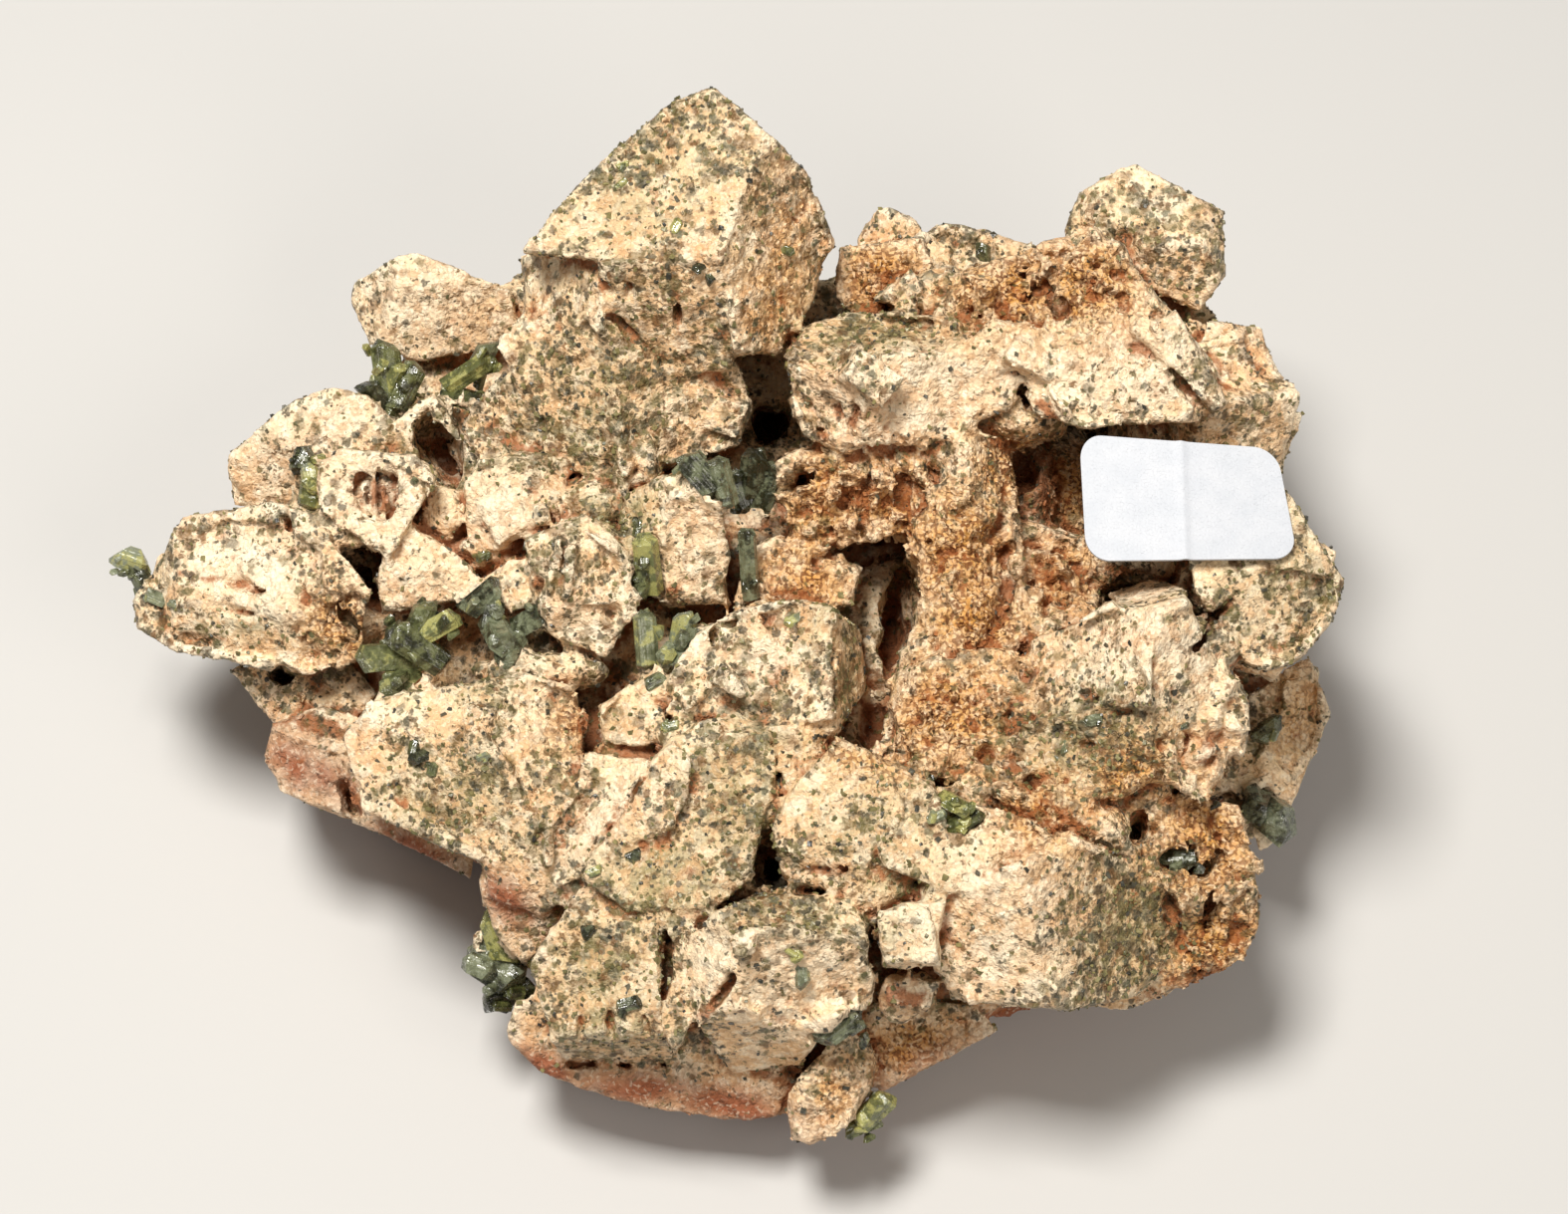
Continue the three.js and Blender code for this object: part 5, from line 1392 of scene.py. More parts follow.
    def close_seats(self, box: tuple[Array, Array]) -> None:
        """Lets the stone fit closely round every epidote prism.

        Args:
            box: what the grid covers.
        """
        names = sorted(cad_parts)
        self.prisms = self.volume_of([name for name in names if name.startswith("epidote")], box)
        self.label = self.volume_of(["paper_label"], box)
        joined = np.minimum(self.volume.values, self.prisms.values)
        closed = self.volume.closed(joined, self.seat_radius)
        near = self.prisms.values < self.seat_reach
        self.volume.values = np.where(near, np.minimum(self.volume.values, closed), self.volume.values)
        self.volume.values = np.maximum(self.volume.values, self.prism_gap - self.prisms.values)

    def volume_of(self, names: Sequence[str], box: tuple[Array, Array]) -> Volume:
        """The distances to some CAD nodes.

        Args:
            names: the nodes.
            box: what the grid covers.

        Returns:
            One volume for all of them.
        """
        meshes = [node_mesh(name) for name in names]
        starts = np.cumsum([0] + [len(p) for p, _ in meshes[:-1]])
        points = np.concatenate([p for p, _ in meshes])
        triangles = np.concatenate([t + s for (_, t), s in zip(meshes, starts)])
        return Volume.of_mesh(points, triangles, self.step, self.band, box)

    def skin(self) -> tuple[Array, Array]:
        """Points of the present surface and how hollow the stone is round them."""
        chosen = np.abs(self.volume.values) < 0.5 * self.step
        points = self.volume.points_where(chosen)
        share = self.volume.solid_share(self.hollow_radius)[chosen]
        return points, 2 * share - 1

    def add_chips(self) -> None:
        """Grows small crystals in the seams: boxes sunk into the surface."""
        points, hollow = self.skin()
        weight = 0.03 + np.clip(hollow - 0.05, 0, None) * (points[:, 2] > 2)
        picks = self.rng.choice(len(points), self.chip_count, p=weight / weight.sum())
        normals = self.volume.normals(points[picks])
        for middle, normal in zip(points[picks], normals):
            half = self.rng.uniform(*self.chip_size, 3) * np.array([1, 0.75, 0.55])
            lean = normal + self.rng.normal(0, 0.3, 3)
            axes = frame_of(lean, self.rng.uniform(0, math.tau))
            sunk = middle - normal * half[2] * self.rng.uniform(0.55, 1.0)
            self.volume.add(sunk, half.max() + 1.2, box_distance(half, axes))

    def cut_cavities(self) -> None:
        """Cuts the openings that the picture shows, along the lines of sight, bent by noise."""
        places = np.array([[c.across, c.rise] for c in self.cavities])
        hits = self.volume.first_hits(places)
        for cavity, hit, line in zip(self.cavities, hits, VIEW.sight(places)):
            side = rotated(RIGHT, np.cross(RIGHT, line), cavity.tilt)[0]
            axes = np.array([side, np.cross(line, side), line])
            half = np.array([cavity.wide, cavity.tall, cavity.depth])
            shape = box_distance(half, axes, 0.2) if cavity.square else egg_distance(half, axes)
            bend = min(0.9, 0.6 * min(cavity.wide, cavity.tall) + 0.12)

            def bent(local: Array, shape: Callable = shape, hit: Array = hit, bend: float = bend) -> Array:
                """The opening's distance at places moved by noise, so that its rim is irregular."""
                flat = (local + hit).reshape(-1, 3)
                layers = ((2.6, bend), (1.2, 0.5 * bend))
                moves = [layered(flat, layers, self.seed + 40 + 2 * axis) for axis in range(3)]
                return shape(local + np.stack(moves, axis=-1).reshape(local.shape))

            self.volume.cut(hit + line * 0.25 * cavity.depth, cavity.depth + 2.0, bent)

    def cut_pits(self) -> None:
        """Cuts small pits in the honeycombed places."""
        for spot in self.pitted:
            count = int(26 * spot.radius)
            places = np.array([spot.across, spot.rise]) + self.rng.normal(0, 0.55 * spot.radius, (count, 2))
            hits = self.volume.first_hits(places)
            for hit, line in zip(hits, VIEW.sight(places)):
                half = np.array([1, 1, 1.3]) * self.rng.uniform(0.2, 0.6)
                axes = frame_of(line + self.rng.normal(0, 0.4, 3), self.rng.uniform(0, math.tau))
                self.volume.cut(hit, half.max() + 1, box_distance(half, axes, 0.15))

    def weather(self) -> None:
        """Roughens the surface: soft waves, broken steps of three sizes, and worn outer edges."""
        chosen = np.abs(self.volume.values) < self.weathered_depth
        points = self.volume.points_where(chosen)
        share = self.volume.solid_share(self.hollow_radius)[chosen]
        convex = np.clip(0.4 - share, 0, 0.4)
        crumbly = self.spread(self.pitted, points)
        rough = 0.5 + 0.9 * crumbly + 2.0 * np.clip(share - 0.55, 0, 0.3)
        relief = layered(points, self.wave_layers, self.seed + 60)
        for noise in self.chip_noises:
            relief += rough * noise.at(points)
        sponge = layered(points, self.sponge_layers, self.seed + 90)
        relief += 1.2 * crumbly * np.clip(sponge - 0.05, 0, 0.9)
        worn = 0.25 * convex * (1 + LatticeNoise(3.0, self.seed + 80).at(points))
        self.volume.values[chosen] += 0.08 + relief + worn
        self.volume.values = np.maximum(self.volume.values, self.label_gap - self.label.values)

    def spread(self, spots: Sequence[Spot], points: Array) -> Array:
        """How strongly spots cover points: the largest strength * exp(-|way / half sizes|^2).

        Args:
            spots: round patches of the picture, laid on the stone.
            points: rows of x, y, z.

        Returns:
            One value a row.
        """
        hits = self.volume.first_hits(np.array([[s.across, s.rise] for s in spots]))
        cover = np.zeros(len(points), np.float32)
        for spot, hit in zip(spots, hits):
            scaled = (spot.axes / spot.half[:, None]).astype(np.float32)
            away = (turned(scaled, points - hit.astype(np.float32)) ** 2).sum(1)
            cover = np.maximum(cover, spot.strength * np.exp(-away))
        return cover

    def measured(self) -> None:
        """Works out how hollow the stone is on a small and a large scale."""
        self.near_share = self.volume.solid_share(self.near_radius)
        self.wide_share = self.volume.solid_share(self.wide_radius)

    def slab_meshes(self) -> list[MeshParts]:
        """The surface in upright slabs of equal area, each closed.

        Returns:
            One mesh a slab. Past its end a slab goes on for the overlap and dips under its
            neighbour, so that no joint shows.
        """
        values = self.volume.values
        crossing = (np.abs(values) < self.step).sum((1, 2))
        share = np.cumsum(crossing) / crossing.sum()
        ends = np.searchsorted(share, np.linspace(0, 1, len(self.slabs) + 1)[1:-1])
        borders = [-1e3] + [self.volume.low[0] + self.step * e for e in ends] + [1e3]
        places = self.volume.low[0] + self.step * np.arange(len(crossing))
        reach = self.slab_overlap
        meshes = []
        for start, end in zip(borders[:-1], borders[1:]):
            beyond = np.maximum(start - places, places - end)
            rows = np.nonzero(beyond < reach + 2 * self.step)[0]
            kept = slice(int(rows[0]), int(rows[-1]) + 1)
            over = beyond[kept].astype(np.float32)[:, None, None]
            dipped = values[kept] + 0.12 * np.maximum(over, 0)
            points, quads = self.volume.surface(kept, np.maximum(dipped, over - reach))
            points, quads = drop_loose_parts(points, quads)
            meshes.append(MeshParts(points.astype(np.float64), quads))
        return meshes


@dataclass
class StonePaint:
    """The values that steer the stone's colour, measured at its vertices."""

    rock: FeldsparRock
    ochre_spots: tuple[Spot, ...] = table(Spot, (
        (15.5, 5, 5.5), (17, -1, 5), (14, -9, 6), (4, 9, 5),
        (10, 9, 4.5), (24, 3, 4), (19, 12, 4), (24, 10, 4),
        (9, 27.5, 4), (19, 27, 5.5), (26, 27, 4.5), (30, -14, 4),
        (36, -20, 5.5), (37, -28, 5), (2, 2.5, 4), (-36.5, -1.5, 3.5),
        (-30, -4, 3.5), (-17, -9.5, 3, 0.7), (22, -17.5, 4),
        (7, -12.5, 5, 0.8, 1.6, -20), (0, 27, 2.4, 0.6, 8, -8),
        (11, -36.5, 5, 0.9, 2.2, 20), (4.5, -40.6, 3.4, 0.5, 4.4),
        (43.4, -8.6, 3, 0.45, 5), (-24.5, 25, 3, 0.35, 3.6),
    ))
    olive_spots: tuple[Spot, ...] = table(Spot, (
        (26, -11, 6.5, 1, 4, 10), (29, -27, 6, 0.9),
        (8, 23.5, 6.5, 1, 2.4, -6), (1.5, -25.6, 6, 0.9, 1.6, -8),
        (-14, -34.5, 5.5, 0.8, 4), (-24.5, -15, 3.6, 0.7, 5, 20),
        (-3.6, -15.6, 3.6, 1, 7, -14), (-10, -22.6, 6.5, 1, 3.6),
        (10.5, -15, 4, 0.5), (-14.6, -29.4, 4.6, 0.9), (7.4, -19, 5.5, 0.6, 3.6),
        (10, -27.4, 1.8, 0.6, 2.4), (9.6, -22.4, 4.4, 0.9, 1.8, -10),
        (-28, -16.4, 5, 0.8, 3.4, -20), (-2, -11, 6, 0.7, 2), (4.5, -0.5, 3, 0.8),
        (-10, 36, 6, 0.6, 9, -35), (42, 3, 5, 0.7), (-11.6, 7.4, 2, 1, 3.4),
        (-16, 16.5, 8, 0.7, 4.5, 30), (-14, -9.5, 2.5, 0.4), (-25, -6, 3, 0.6),
        (34, 25, 3, 0.6), (-14.5, 8, 3, 0.8, 1.6, -30),
        (-44, -1.6, 5.5, 0.6, 1.2, -8), (6, -6, 1.6, 0.8, 4),
    ))
    plain_spots: tuple[Spot, ...] = table(Spot, (
        (12, 20.5, 5, 0.8, 3), (30.5, 1.4, 3.6, 1, 1.6), (29, 20, 6, 0.7),
        (-22.5, 8.8, 4, 0.8), (-44, 3, 7, 0.9, 4, -20), (-33.5, 9.5, 4.5, 1),
        (17, -23, 4, 0.6), (-2, -4.5, 3, 0.6), (12, -27, 4, 0.8),
        (20, -31, 8, 0.6, 4), (-30, 3, 4, 0.6), (-6.6, 5, 2.4, 0.8, 4.6),
        (-15, -18, 1.6, 1, 5.5, -38), (-5.6, -28.8, 2.4, 0.9, 4),
        (2, -31, 4.6, 0.6, 3.6), (-16, -1.2, 4, 0.7, 2.6),
        (-38, -14, 6, 0.7, 3, -35), (-18.5, -7.5, 3.6, 0.6),
        (35, -4, 2.6, 0.7, 5, 20), (5.6, 17.4, 5, 0.6, 3, -10),
        (12, 17.4, 4, 0.6, 3), (27.6, -4.6, 5, 0.7), (2, -29.4, 4, 0.7),
        (41, 0.6, 4.4, 0.5), (19, 21, 5, 0.6), (-29.5, 25.5, 7, 0.85, 4.6),
        (-41.5, 13.4, 5, 0.6), (-37, 16.4, 4, 0.6, 2),
    ))
    rust_spots: tuple[Spot, ...] = table(Spot, (
        (-8.3, 24.5, 0.5, 1, 4.2, 7), (-14.5, 27.1, 0.5, 1, 0.9),
        (-12.5, 26.9, 0.4, 1, 0.8), (-12, 23, 3, 0.9, 0.4, -38),
        (-45.3, 2.1, 4.8, 0.9, 0.4, -11), (-46, -0.1, 2.8, 0.7, 0.3, -8),
        (-51.5, -0.5, 0.6, 0.7, 2.6, 20), (1.9, 10.8, 1.9, 1, 0.9), (6.6, 9.5, 1.7, 1, 1.3),
        (11.4, 10.4, 1.3, 1, 1.4), (-33.6, 9.5, 2, 0.9, 2), (22.6, 10.4, 3, 1, 5.4),
        (-33.8, 1, 1.5, 0.9, 3.2, 30), (-39, -9.6, 4, 0.9, 1, -10),
        (-35.4, -15.8, 0.8, 0.9, 2.4, 25), (26.2, -7.4, 1.2, 0.9, 0.4, -30),
        (36.6, -11, 1.3, 0.8, 3.2, -25), (41.5, -3.3, 1, 0.9, 0.8),
        (36.6, -1, 0.7, 0.9, 3.4, -42), (25, -17.8, 5.4, 0.8, 0.9, -32),
        (34.5, -31.2, 4.4, 0.8, 1.4, 25), (38.5, -27, 1.3, 0.8, 2.2),
        (-9.4, -29.6, 0.8, 0.9, 2.6), (-4.8, -32.4, 0.6, 0.9, 2.6, -40),
        (1, -38.6, 2.4, 0.9, 1, 40), (4.4, -21.9, 2.4, 0.8, 0.5, 6),
        (18, -34, 6, 0.8, 0.7), (10.4, -32.6, 2.4, 0.9, 1.8), (-19.8, 2.1, 1, 1, 0.9),
        (-22.4, 4.8, 1.6, 0.8, 0.6, -10), (-8.8, 1.4, 1.4, 0.8, 0.6, 20),
        (-14, -5, 3.6, 0.9, 1.2, -35), (-16, -10, 1, 0.7, 3),
        (6.5, 16, 0.6, 0.9, 1.4, -24), (3.8, 14.8, 0.6, 0.9, 1.2, 30),
        (22.4, 3, 3.4, 0.6, 3), (22.3, 17.2, 0.6, 1, 1.9, 35),
        (-12.6, 23.6, 0.6, 0.6, 0.8), (-20, 25, 1.4, 0.5, 3, -20),
        (29, 3.2, 3.6, 0.8, 0.8), (4, 9, 3.4, 0.42, 2.4), (9.6, 8.8, 3.6, 0.42, 2.6),
        (-13.3, -17.2, 0.45, 0.6, 4.6, -36),
    ))
    # Where the rim is painted pinkish brown: partly its crust, partly painted shade.
    crust_and_shade_spots: tuple[Spot, ...] = table(Spot, (
        (-19.5, -38.6, 3.6, 1, 1.7, -28), (-12, -40, 6.5, 1, 1.7, -6),
        (-4, -41.6, 5.5, 1, 2, -12), (-22.6, -24.6, 3.4, 0.9, 1.8, -50),
        (-40, -13, 6, 0.8, 2.4, -35), (-46, -7, 5, 0.8, 2, -25),
        (-30, -20, 6, 0.9, 1.6, -28), (12, -38, 6, 0.5, 1.8, 28),
    ))
    blush_height: float = 13.0

    def values(self, points: Array) -> dict[str, Array]:
        """All the values at some points.

        Args:
            points: rows of x, y, z.

        Returns:
            By name: ochre, olive, speckled, the crust with painted shade low down, crevice, depth for the
                painted shade in hollows, edge for the painted highlight on edges, and the front faces'
                painted shade, each 0 to 1, and white.
        """
        rock = self.rock
        near = 2 * rock.volume.at(points, rock.near_share) - 1
        wide = 2 * rock.volume.at(points, rock.wide_share) - 1
        ragged = 0.25 * LatticeNoise(1.3, 91).at(points) + 0.2 * LatticeNoise(3.1, 92).at(points)
        ochre = np.clip(rock.spread(self.ochre_spots, points) * (1 + ragged), 0, 1)
        olive = np.clip(rock.spread(self.olive_spots, points) * (1 + 1.2 * ragged), 0, 1)
        plain = rock.spread(self.plain_spots, points)
        rust = rock.spread(self.rust_spots, points) * (1 + 1.4 * ragged)
        # Pinkish brown towards the bottom: partly a crust, partly painted shade.
        patchy = 0.8 + 0.7 * LatticeNoise(6.5, 93).at(points)
        low = np.clip(2.0 * (1 - points[:, 2] / self.blush_height) * patchy, 0, 1)
        low = np.maximum(low, rock.spread(self.crust_and_shade_spots, points))
        crevice = (near + 0.05) * (1.5 + ochre) + np.clip(wide, 0, 1) * 0.8 + ragged * 0.6
        blush = np.clip(low * (1.1 + 1.0 * ragged), 0, 0.95)
        return {
            "ochre": ochre,
            "olive": olive,
            "speckled": np.clip(0.95 - 0.8 * ochre - 0.8 * plain - 0.85 * blush + ragged, 0, 1),
            "blush": blush,
            "crevice": np.clip(np.maximum(crevice, 1.1 * rust), 0, 1),
            # How deep in a wide hollow a point lies, for the painted shade there.
            "depth": np.clip((wide - 0.42) * 2.6 + ragged * 0.4, 0, 1),
            "edge": np.clip((-near - 0.12) * 2.4 + ragged * 0.6, 0, 1),
            # How convex the stone is, for the painted highlight on its edges.
            "white": np.clip(plain * (1 + ragged), 0, 1),
            # How much a face turns to the front, for the painted shade there.
            "facing": np.clip(-rock.volume.normals(points)[:, 1] * 1.4 + ragged * 0.5, 0, 1),
        }


@dataclass
class Crumbs:
    """Small mineral grains scattered over the stone, sunk to about half their height."""

    rock: FeldsparRock
    skin: MeshParts
    count: int
    size: tuple[float, float]
    seed: int

    corners = np.array([[x, y, z] for z in (-1.0, 1.0) for y in (-1.0, 1.0) for x in (-1.0, 1.0)])
    faces = np.array([[0, 2, 3, 1], [4, 5, 7, 6], [0, 1, 5, 4], [2, 6, 7, 3], [0, 4, 6, 2], [1, 3, 7, 5]])

    def scatter(self, weight: Array) -> MeshParts:
        """Places the grains.

        Args:
            weight: how likely each vertex of the skin is to carry one.

        Returns:
            All grains as one mesh with a tone for each, and the skin's values where it sits: each
            is a cube, stretched, pushed about at its corners and turned so that its short side
            stands off the stone.
        """
        rng = np.random.default_rng(self.seed)
        picks = rng.choice(len(weight), self.count, p=weight / weight.sum())
        middle = self.skin.points[picks]
        normal = self.rock.volume.normals(middle) + rng.normal(0, 0.35, (self.count, 3))
        normal /= np.linalg.norm(normal, axis=1, keepdims=True)
        side = np.cross(normal, rng.normal(0, 1, (self.count, 3)))
        side /= np.linalg.norm(side, axis=1, keepdims=True)
        third = np.cross(normal, side)
        half = np.exp(rng.uniform(*np.log(self.size), (self.count, 1))) / 2
        ranges = ((0.8, 1.3), (0.55, 1.0), (0.45, 0.8))
        stretch = np.stack([rng.uniform(*r, self.count) for r in ranges], axis=1) * half * 0.8
        pushed = self.corners[None] + rng.uniform(-0.45, 0.45, (self.count, 8, 3))
        axes = np.stack([side, third, normal], axis=1)
        points = np.einsum("nvi,nij->nvj", pushed * stretch[:, None], axes) + middle[:, None]
        numbers = self.faces[None] + 8 * np.arange(self.count)[:, None, None]
        values = {name: np.repeat(value[picks], 8) for name, value in self.skin.values.items()}
        values["tone"] = np.repeat(rng.uniform(0, 1, self.count), 8)
        return MeshParts(points.reshape(-1, 3), numbers.reshape(-1, 4), values)


@dataclass(frozen=True)
class Prism:
    """One epidote crystal: its middle, length, width, compass heading and lift in degrees."""

    middle: Triple
    length: float
    width: float
    heading: float
    lift: float

    @property
    def axes(self) -> Array:
        """Unit rows: along the crystal, across it and its third direction."""
        heading, lift = math.radians(self.heading), math.radians(self.lift)
        level = math.cos(lift)
        along = np.array([level * math.cos(heading), level * math.sin(heading), math.sin(lift)])
        across = np.array([-math.sin(heading), math.cos(heading), 0.0])
        return np.array([along, across, np.cross(along, across)])

    def lumps(self, count: int, rng: np.random.Generator) -> list["Prism"]:
        """The crystal as a stout core with short, stubby crystals grown on it every way.

        Args:
            count: how many stubby crystals.
            rng: source of their places and sizes.

        Returns:
            The core, 0.95 as long and 0.92 as wide, and the others, 0.4 to 0.6 as wide as the crystal.
        """
        found = [Prism(self.middle, 0.95 * self.length, 0.92 * self.width, self.heading, self.lift)]
        for _ in range(count):
            turn = rng.uniform(0, math.tau)
            aside = rng.uniform(0.2, 0.42) * self.width
            ahead = rng.uniform(-0.4, 0.4) * self.length
            move = np.array([ahead, aside * math.cos(turn), aside * math.sin(turn)])
            width = self.width * rng.uniform(0.4, 0.6)
            length = width * rng.uniform(1.1, 1.7)
            heading, lift = self.heading + rng.normal(0, 32), self.lift + rng.normal(0, 28)
            middle = np.array(self.middle) + move @ self.axes
            found.append(Prism(tuple(middle), length, width, heading, lift))
        return found

    def mesh(self, around: int, rng: np.random.Generator, tone: float, teal: float) -> MeshParts:
        """The crystal's surface.

        Args:
            around: corners of its section.
            rng: source of its irregularity.
            tone: from 0, blackish, to 1, yellow green.
            teal: how bluish grey it is.

        Returns:
            A closed mesh with flat sides. The section is an uneven, flattened polygon; each end is
            cut by two slanting planes, x = half - slope * |y - shift| - tilt * z, and closes in
            rings to a pole. The girth value is the way round the section, in millimetres.
        """
        corner = np.arange(around) * math.tau / around
        corner += rng.uniform(-0.2, 0.2, around)
        radius = 0.5 * self.width * rng.uniform(0.72, 1.1, around)
        flat = np.stack([np.cos(corner), np.sin(corner) * rng.uniform(0.6, 0.85)], axis=1) * radius[:, None]
        share = np.array([0.0, 0.62, 1.0, 1.0, 0.62, 0.0])[:, None, None]
        section = flat[None] * share
        along = np.array([-1.0, -1, -1, 1, 1, 1])[:, None]
        slope, tilt = rng.uniform(0.3, 0.9, 2)
        shift = rng.uniform(-0.25, 0.25) * self.width
        ends = self.length / 2 - slope * np.abs(section[..., 0] - shift) - 0.5 * tilt * section[..., 1]
        local = np.stack([ends * along, section[..., 0], section[..., 1]], axis=-1).reshape(-1, 3)
        points = local @ self.axes + np.array(self.middle)
        girth = np.concatenate([[0], np.linalg.norm(np.diff(flat, axis=0), axis=1).cumsum()])
        rings = np.arange(len(share) - 1)[:, None] * around
        first = (rings + np.arange(around)[None]).reshape(-1)
        nearby = (rings + (np.arange(around)[None] + 1) % around).reshape(-1)
        faces = np.stack([first, nearby, nearby + around, first + around], axis=1)
        pole = (len(share) - 1) * around
        faces = np.where(faces < around, 0, np.where(faces >= pole, pole, faces))
        closing = faces[:, 0] == faces[:, 1]
        faces[closing] = faces[closing][:, [1, 2, 3, 3]]
        values = {
            "tone": np.full(len(points), np.clip(tone + rng.normal(0, 0.2), 0, 1)),
            "teal": np.full(len(points), teal),
            "girth": np.tile(girth, len(share)) + rng.uniform(0, 90),
        }
        return compacted(MeshParts(points, faces, values))


def compacted(parts: MeshParts) -> MeshParts:
    """The mesh without the vertices that no face uses."""
    used = np.zeros(len(parts.points), bool)
    used[parts.faces.ravel()] = True
    renumbered = np.cumsum(used) - 1
    values = {name: value[used] for name, value in parts.values.items()}
    return MeshParts(parts.points[used], renumbered[parts.faces], values)


@dataclass(frozen=True)
class Fleck:
    """A lone small crystal on the stone: its place in the picture, length, tone, teal and heading."""

    across: float
    rise: float
    length: float
    tone: float
    teal: float = 0.2
    heading: float = 20.0


@dataclass
class EpidoteFlecks:
    """The lone small crystals that the picture shows on the blocks' faces."""

    rock: FeldsparRock
    flecks: tuple[Fleck, ...] = table(Fleck, (
        (-8.4, 32, 1.5, 0.85, 0, 60), (0.6, 30.1, 1.6, 0.45, 0.1, 150),
        (3, 35.8, 2.4, 0.6, 0.6, 90), (17.3, 29.6, 2.4, 0.35, 0.2, 90),
        (-29.8, -12.2, 2.4, 0.4, 0.1, 30), (-28.8, -13.4, 1.4, 0.3, 0.2, 70),
        (1.6, -28.7, 1.7, 0.85, 0.1, 100), (2.1, -30.6, 2.2, 0.35, 0.8, 95),
        (-15.3, -21.9, 1.5, 0.75, 0.3), (-12.4, -33, 2.2, 0.5, 0.5, 10),
        (-51.8, 1, 2.4, 0.7, 0.8, 160), (-50.4, 0.4, 1.2, 0.7, 0.8, 120),
        (-10.2, -6, 2, 0.05, 0.3, 30), (-6.4, 28.7, 1.5, 0, 0.4, 40),
        (-5.7, 27.7, 1.2, 0, 0.4, 110), (12.9, -14.1, 1.2, 0.05, 0.4, 90),
        (14.8, -18.2, 2.6, 0.75, 0.9, 150), (13.4, -17.4, 1.8, 0.8, 0.8, 20),
        (-24.4, 4.6, 1.6, 0.4, 0.2, 40), (-30.2, 11, 1.2, 0.4, 0.6, 60),
        (1.5, -0.9, 1.8, 0.55, 0.7, 20), (-8.9, -9.8, 1.6, 0.8, 0.3, 10),
        (-11.6, 6.8, 1.6, 0.3, 0.1, 80), (7.2, -36.2, 1.8, 0.4, 0.8, 60),
        (-24.6, -12.3, 1.2, 0.6, 1, 10), (26.6, -9.2, 1.6, 0.35, 0.7, 20),
        (24.2, -11.6, 1.4, 0.4, 0.6, 80), (-12, -20.6, 1.6, 0.1, 0.6, 20),
        (-15.8, -27, 1.5, 0.2, 0.6, 50), (34, -9.8, 1.1, 0, 0.3),
        (36.7, -16.4, 1, 0, 0.5), (-13, 35.6, 1.3, 0.7, 0.1, 40),
        (-12.9, 37.2, 1.2, 0.7, 0.1),
    ))
    width: float = 0.62

    def build(self, finish: Finish, seed: int) -> None:
        """Makes the piece.

        Args:
            finish: the crystals' material.
            seed: of their irregularity.
        """
        rng = np.random.default_rng(seed)
        hits = self.rock.volume.first_hits(np.array([[f.across, f.rise] for f in self.flecks]))
        touching = np.abs(self.rock.volume.at(hits)) < 0.5
        for fleck, there in zip(self.flecks, touching):
            if not there:
                log.warning("no stone under the fleck at %s, %s", fleck.across, fleck.rise)
        parts = []
        for fleck, hit in zip(np.array(self.flecks, object)[touching], hits[touching]):
            lift = rng.uniform(-10, 30)
            body = Prism(tuple(hit), fleck.length, self.width * fleck.length, fleck.heading, lift)
            aside = tuple(hit + rng.uniform(-0.25, 0.25, 3) * fleck.length)
            second = Prism(aside, 0.7 * fleck.length, 0.4 * fleck.length, fleck.heading + 50, lift + 20)
            parts += [crystal.mesh(6, rng, fleck.tone, fleck.teal) for crystal in (body, second)]
        MeshParts.joined(parts).piece("epidote_flecks", finish, "epidote", smooth=False)


Row = tuple[float, float, float, float, float, float, float]


@dataclass
class EpidoteSpray:
    """A group of prisms that stands for one CAD node, with smaller crystals grown against them.

    `tones` gives each prism its own tone and teal; without it all have the group's.
    """

    name: str
    rows: tuple[Row, ...]
    tone: float = 0.4
    teal: float = 0.3
    small: int = 2
    stubby: int = 2
    portrait: bool = True
    tones: tuple[tuple[float, float], ...] = ()

    def prisms(self) -> list[Prism]:
        """The main crystals, from [across, rise, height or x, y, z; length, width, heading, lift]."""
        found = []
        for a, b, c, length, width, heading, lift in self.rows:
            middle = VIEW.point(a, b, c) if self.portrait else np.array([a, b, c]) + SHIFT
            found.append(Prism(tuple(middle), length, width, heading, lift))
        return found

    def build(self, finish: Finish, seed: int) -> None:
        """Makes the piece and hides the node that it stands for.

        Args:
            finish: the crystals' material.
            seed: of its irregularity.
        """
        rng = np.random.default_rng(seed)
        prisms = self.prisms()
        tones = self.tones or ((self.tone, self.teal),) * len(prisms)
        parts = []
        for prism, (tone, teal) in zip(prisms, tones):
            parts += [piece.mesh(6, rng, tone, teal) for piece in prism.lumps(self.stubby, rng)]
            for _ in range(self.small):
                place = rng.uniform(-0.5, 0.5, 3) * np.array([prism.length, prism.width, 0.8 * prism.width])
                middle = np.array(prism.middle) + place @ prism.axes
                size = rng.uniform(0.5, 0.32 + 0.3 * prism.width)
                heading = prism.heading + rng.normal(0, 45)
                length = size * rng.uniform(1.1, 1.9)
                small = Prism(tuple(middle), length, size, heading, prism.lift + rng.normal(0, 35))
                parts.append(small.mesh(6, rng, tone, teal))
        piece = MeshParts.joined(parts).piece(self.name + "_crystals", finish, "epidote", smooth=False)
        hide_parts(self.name)


SHIFT = np.array([4.47, 1.23, 0.0])

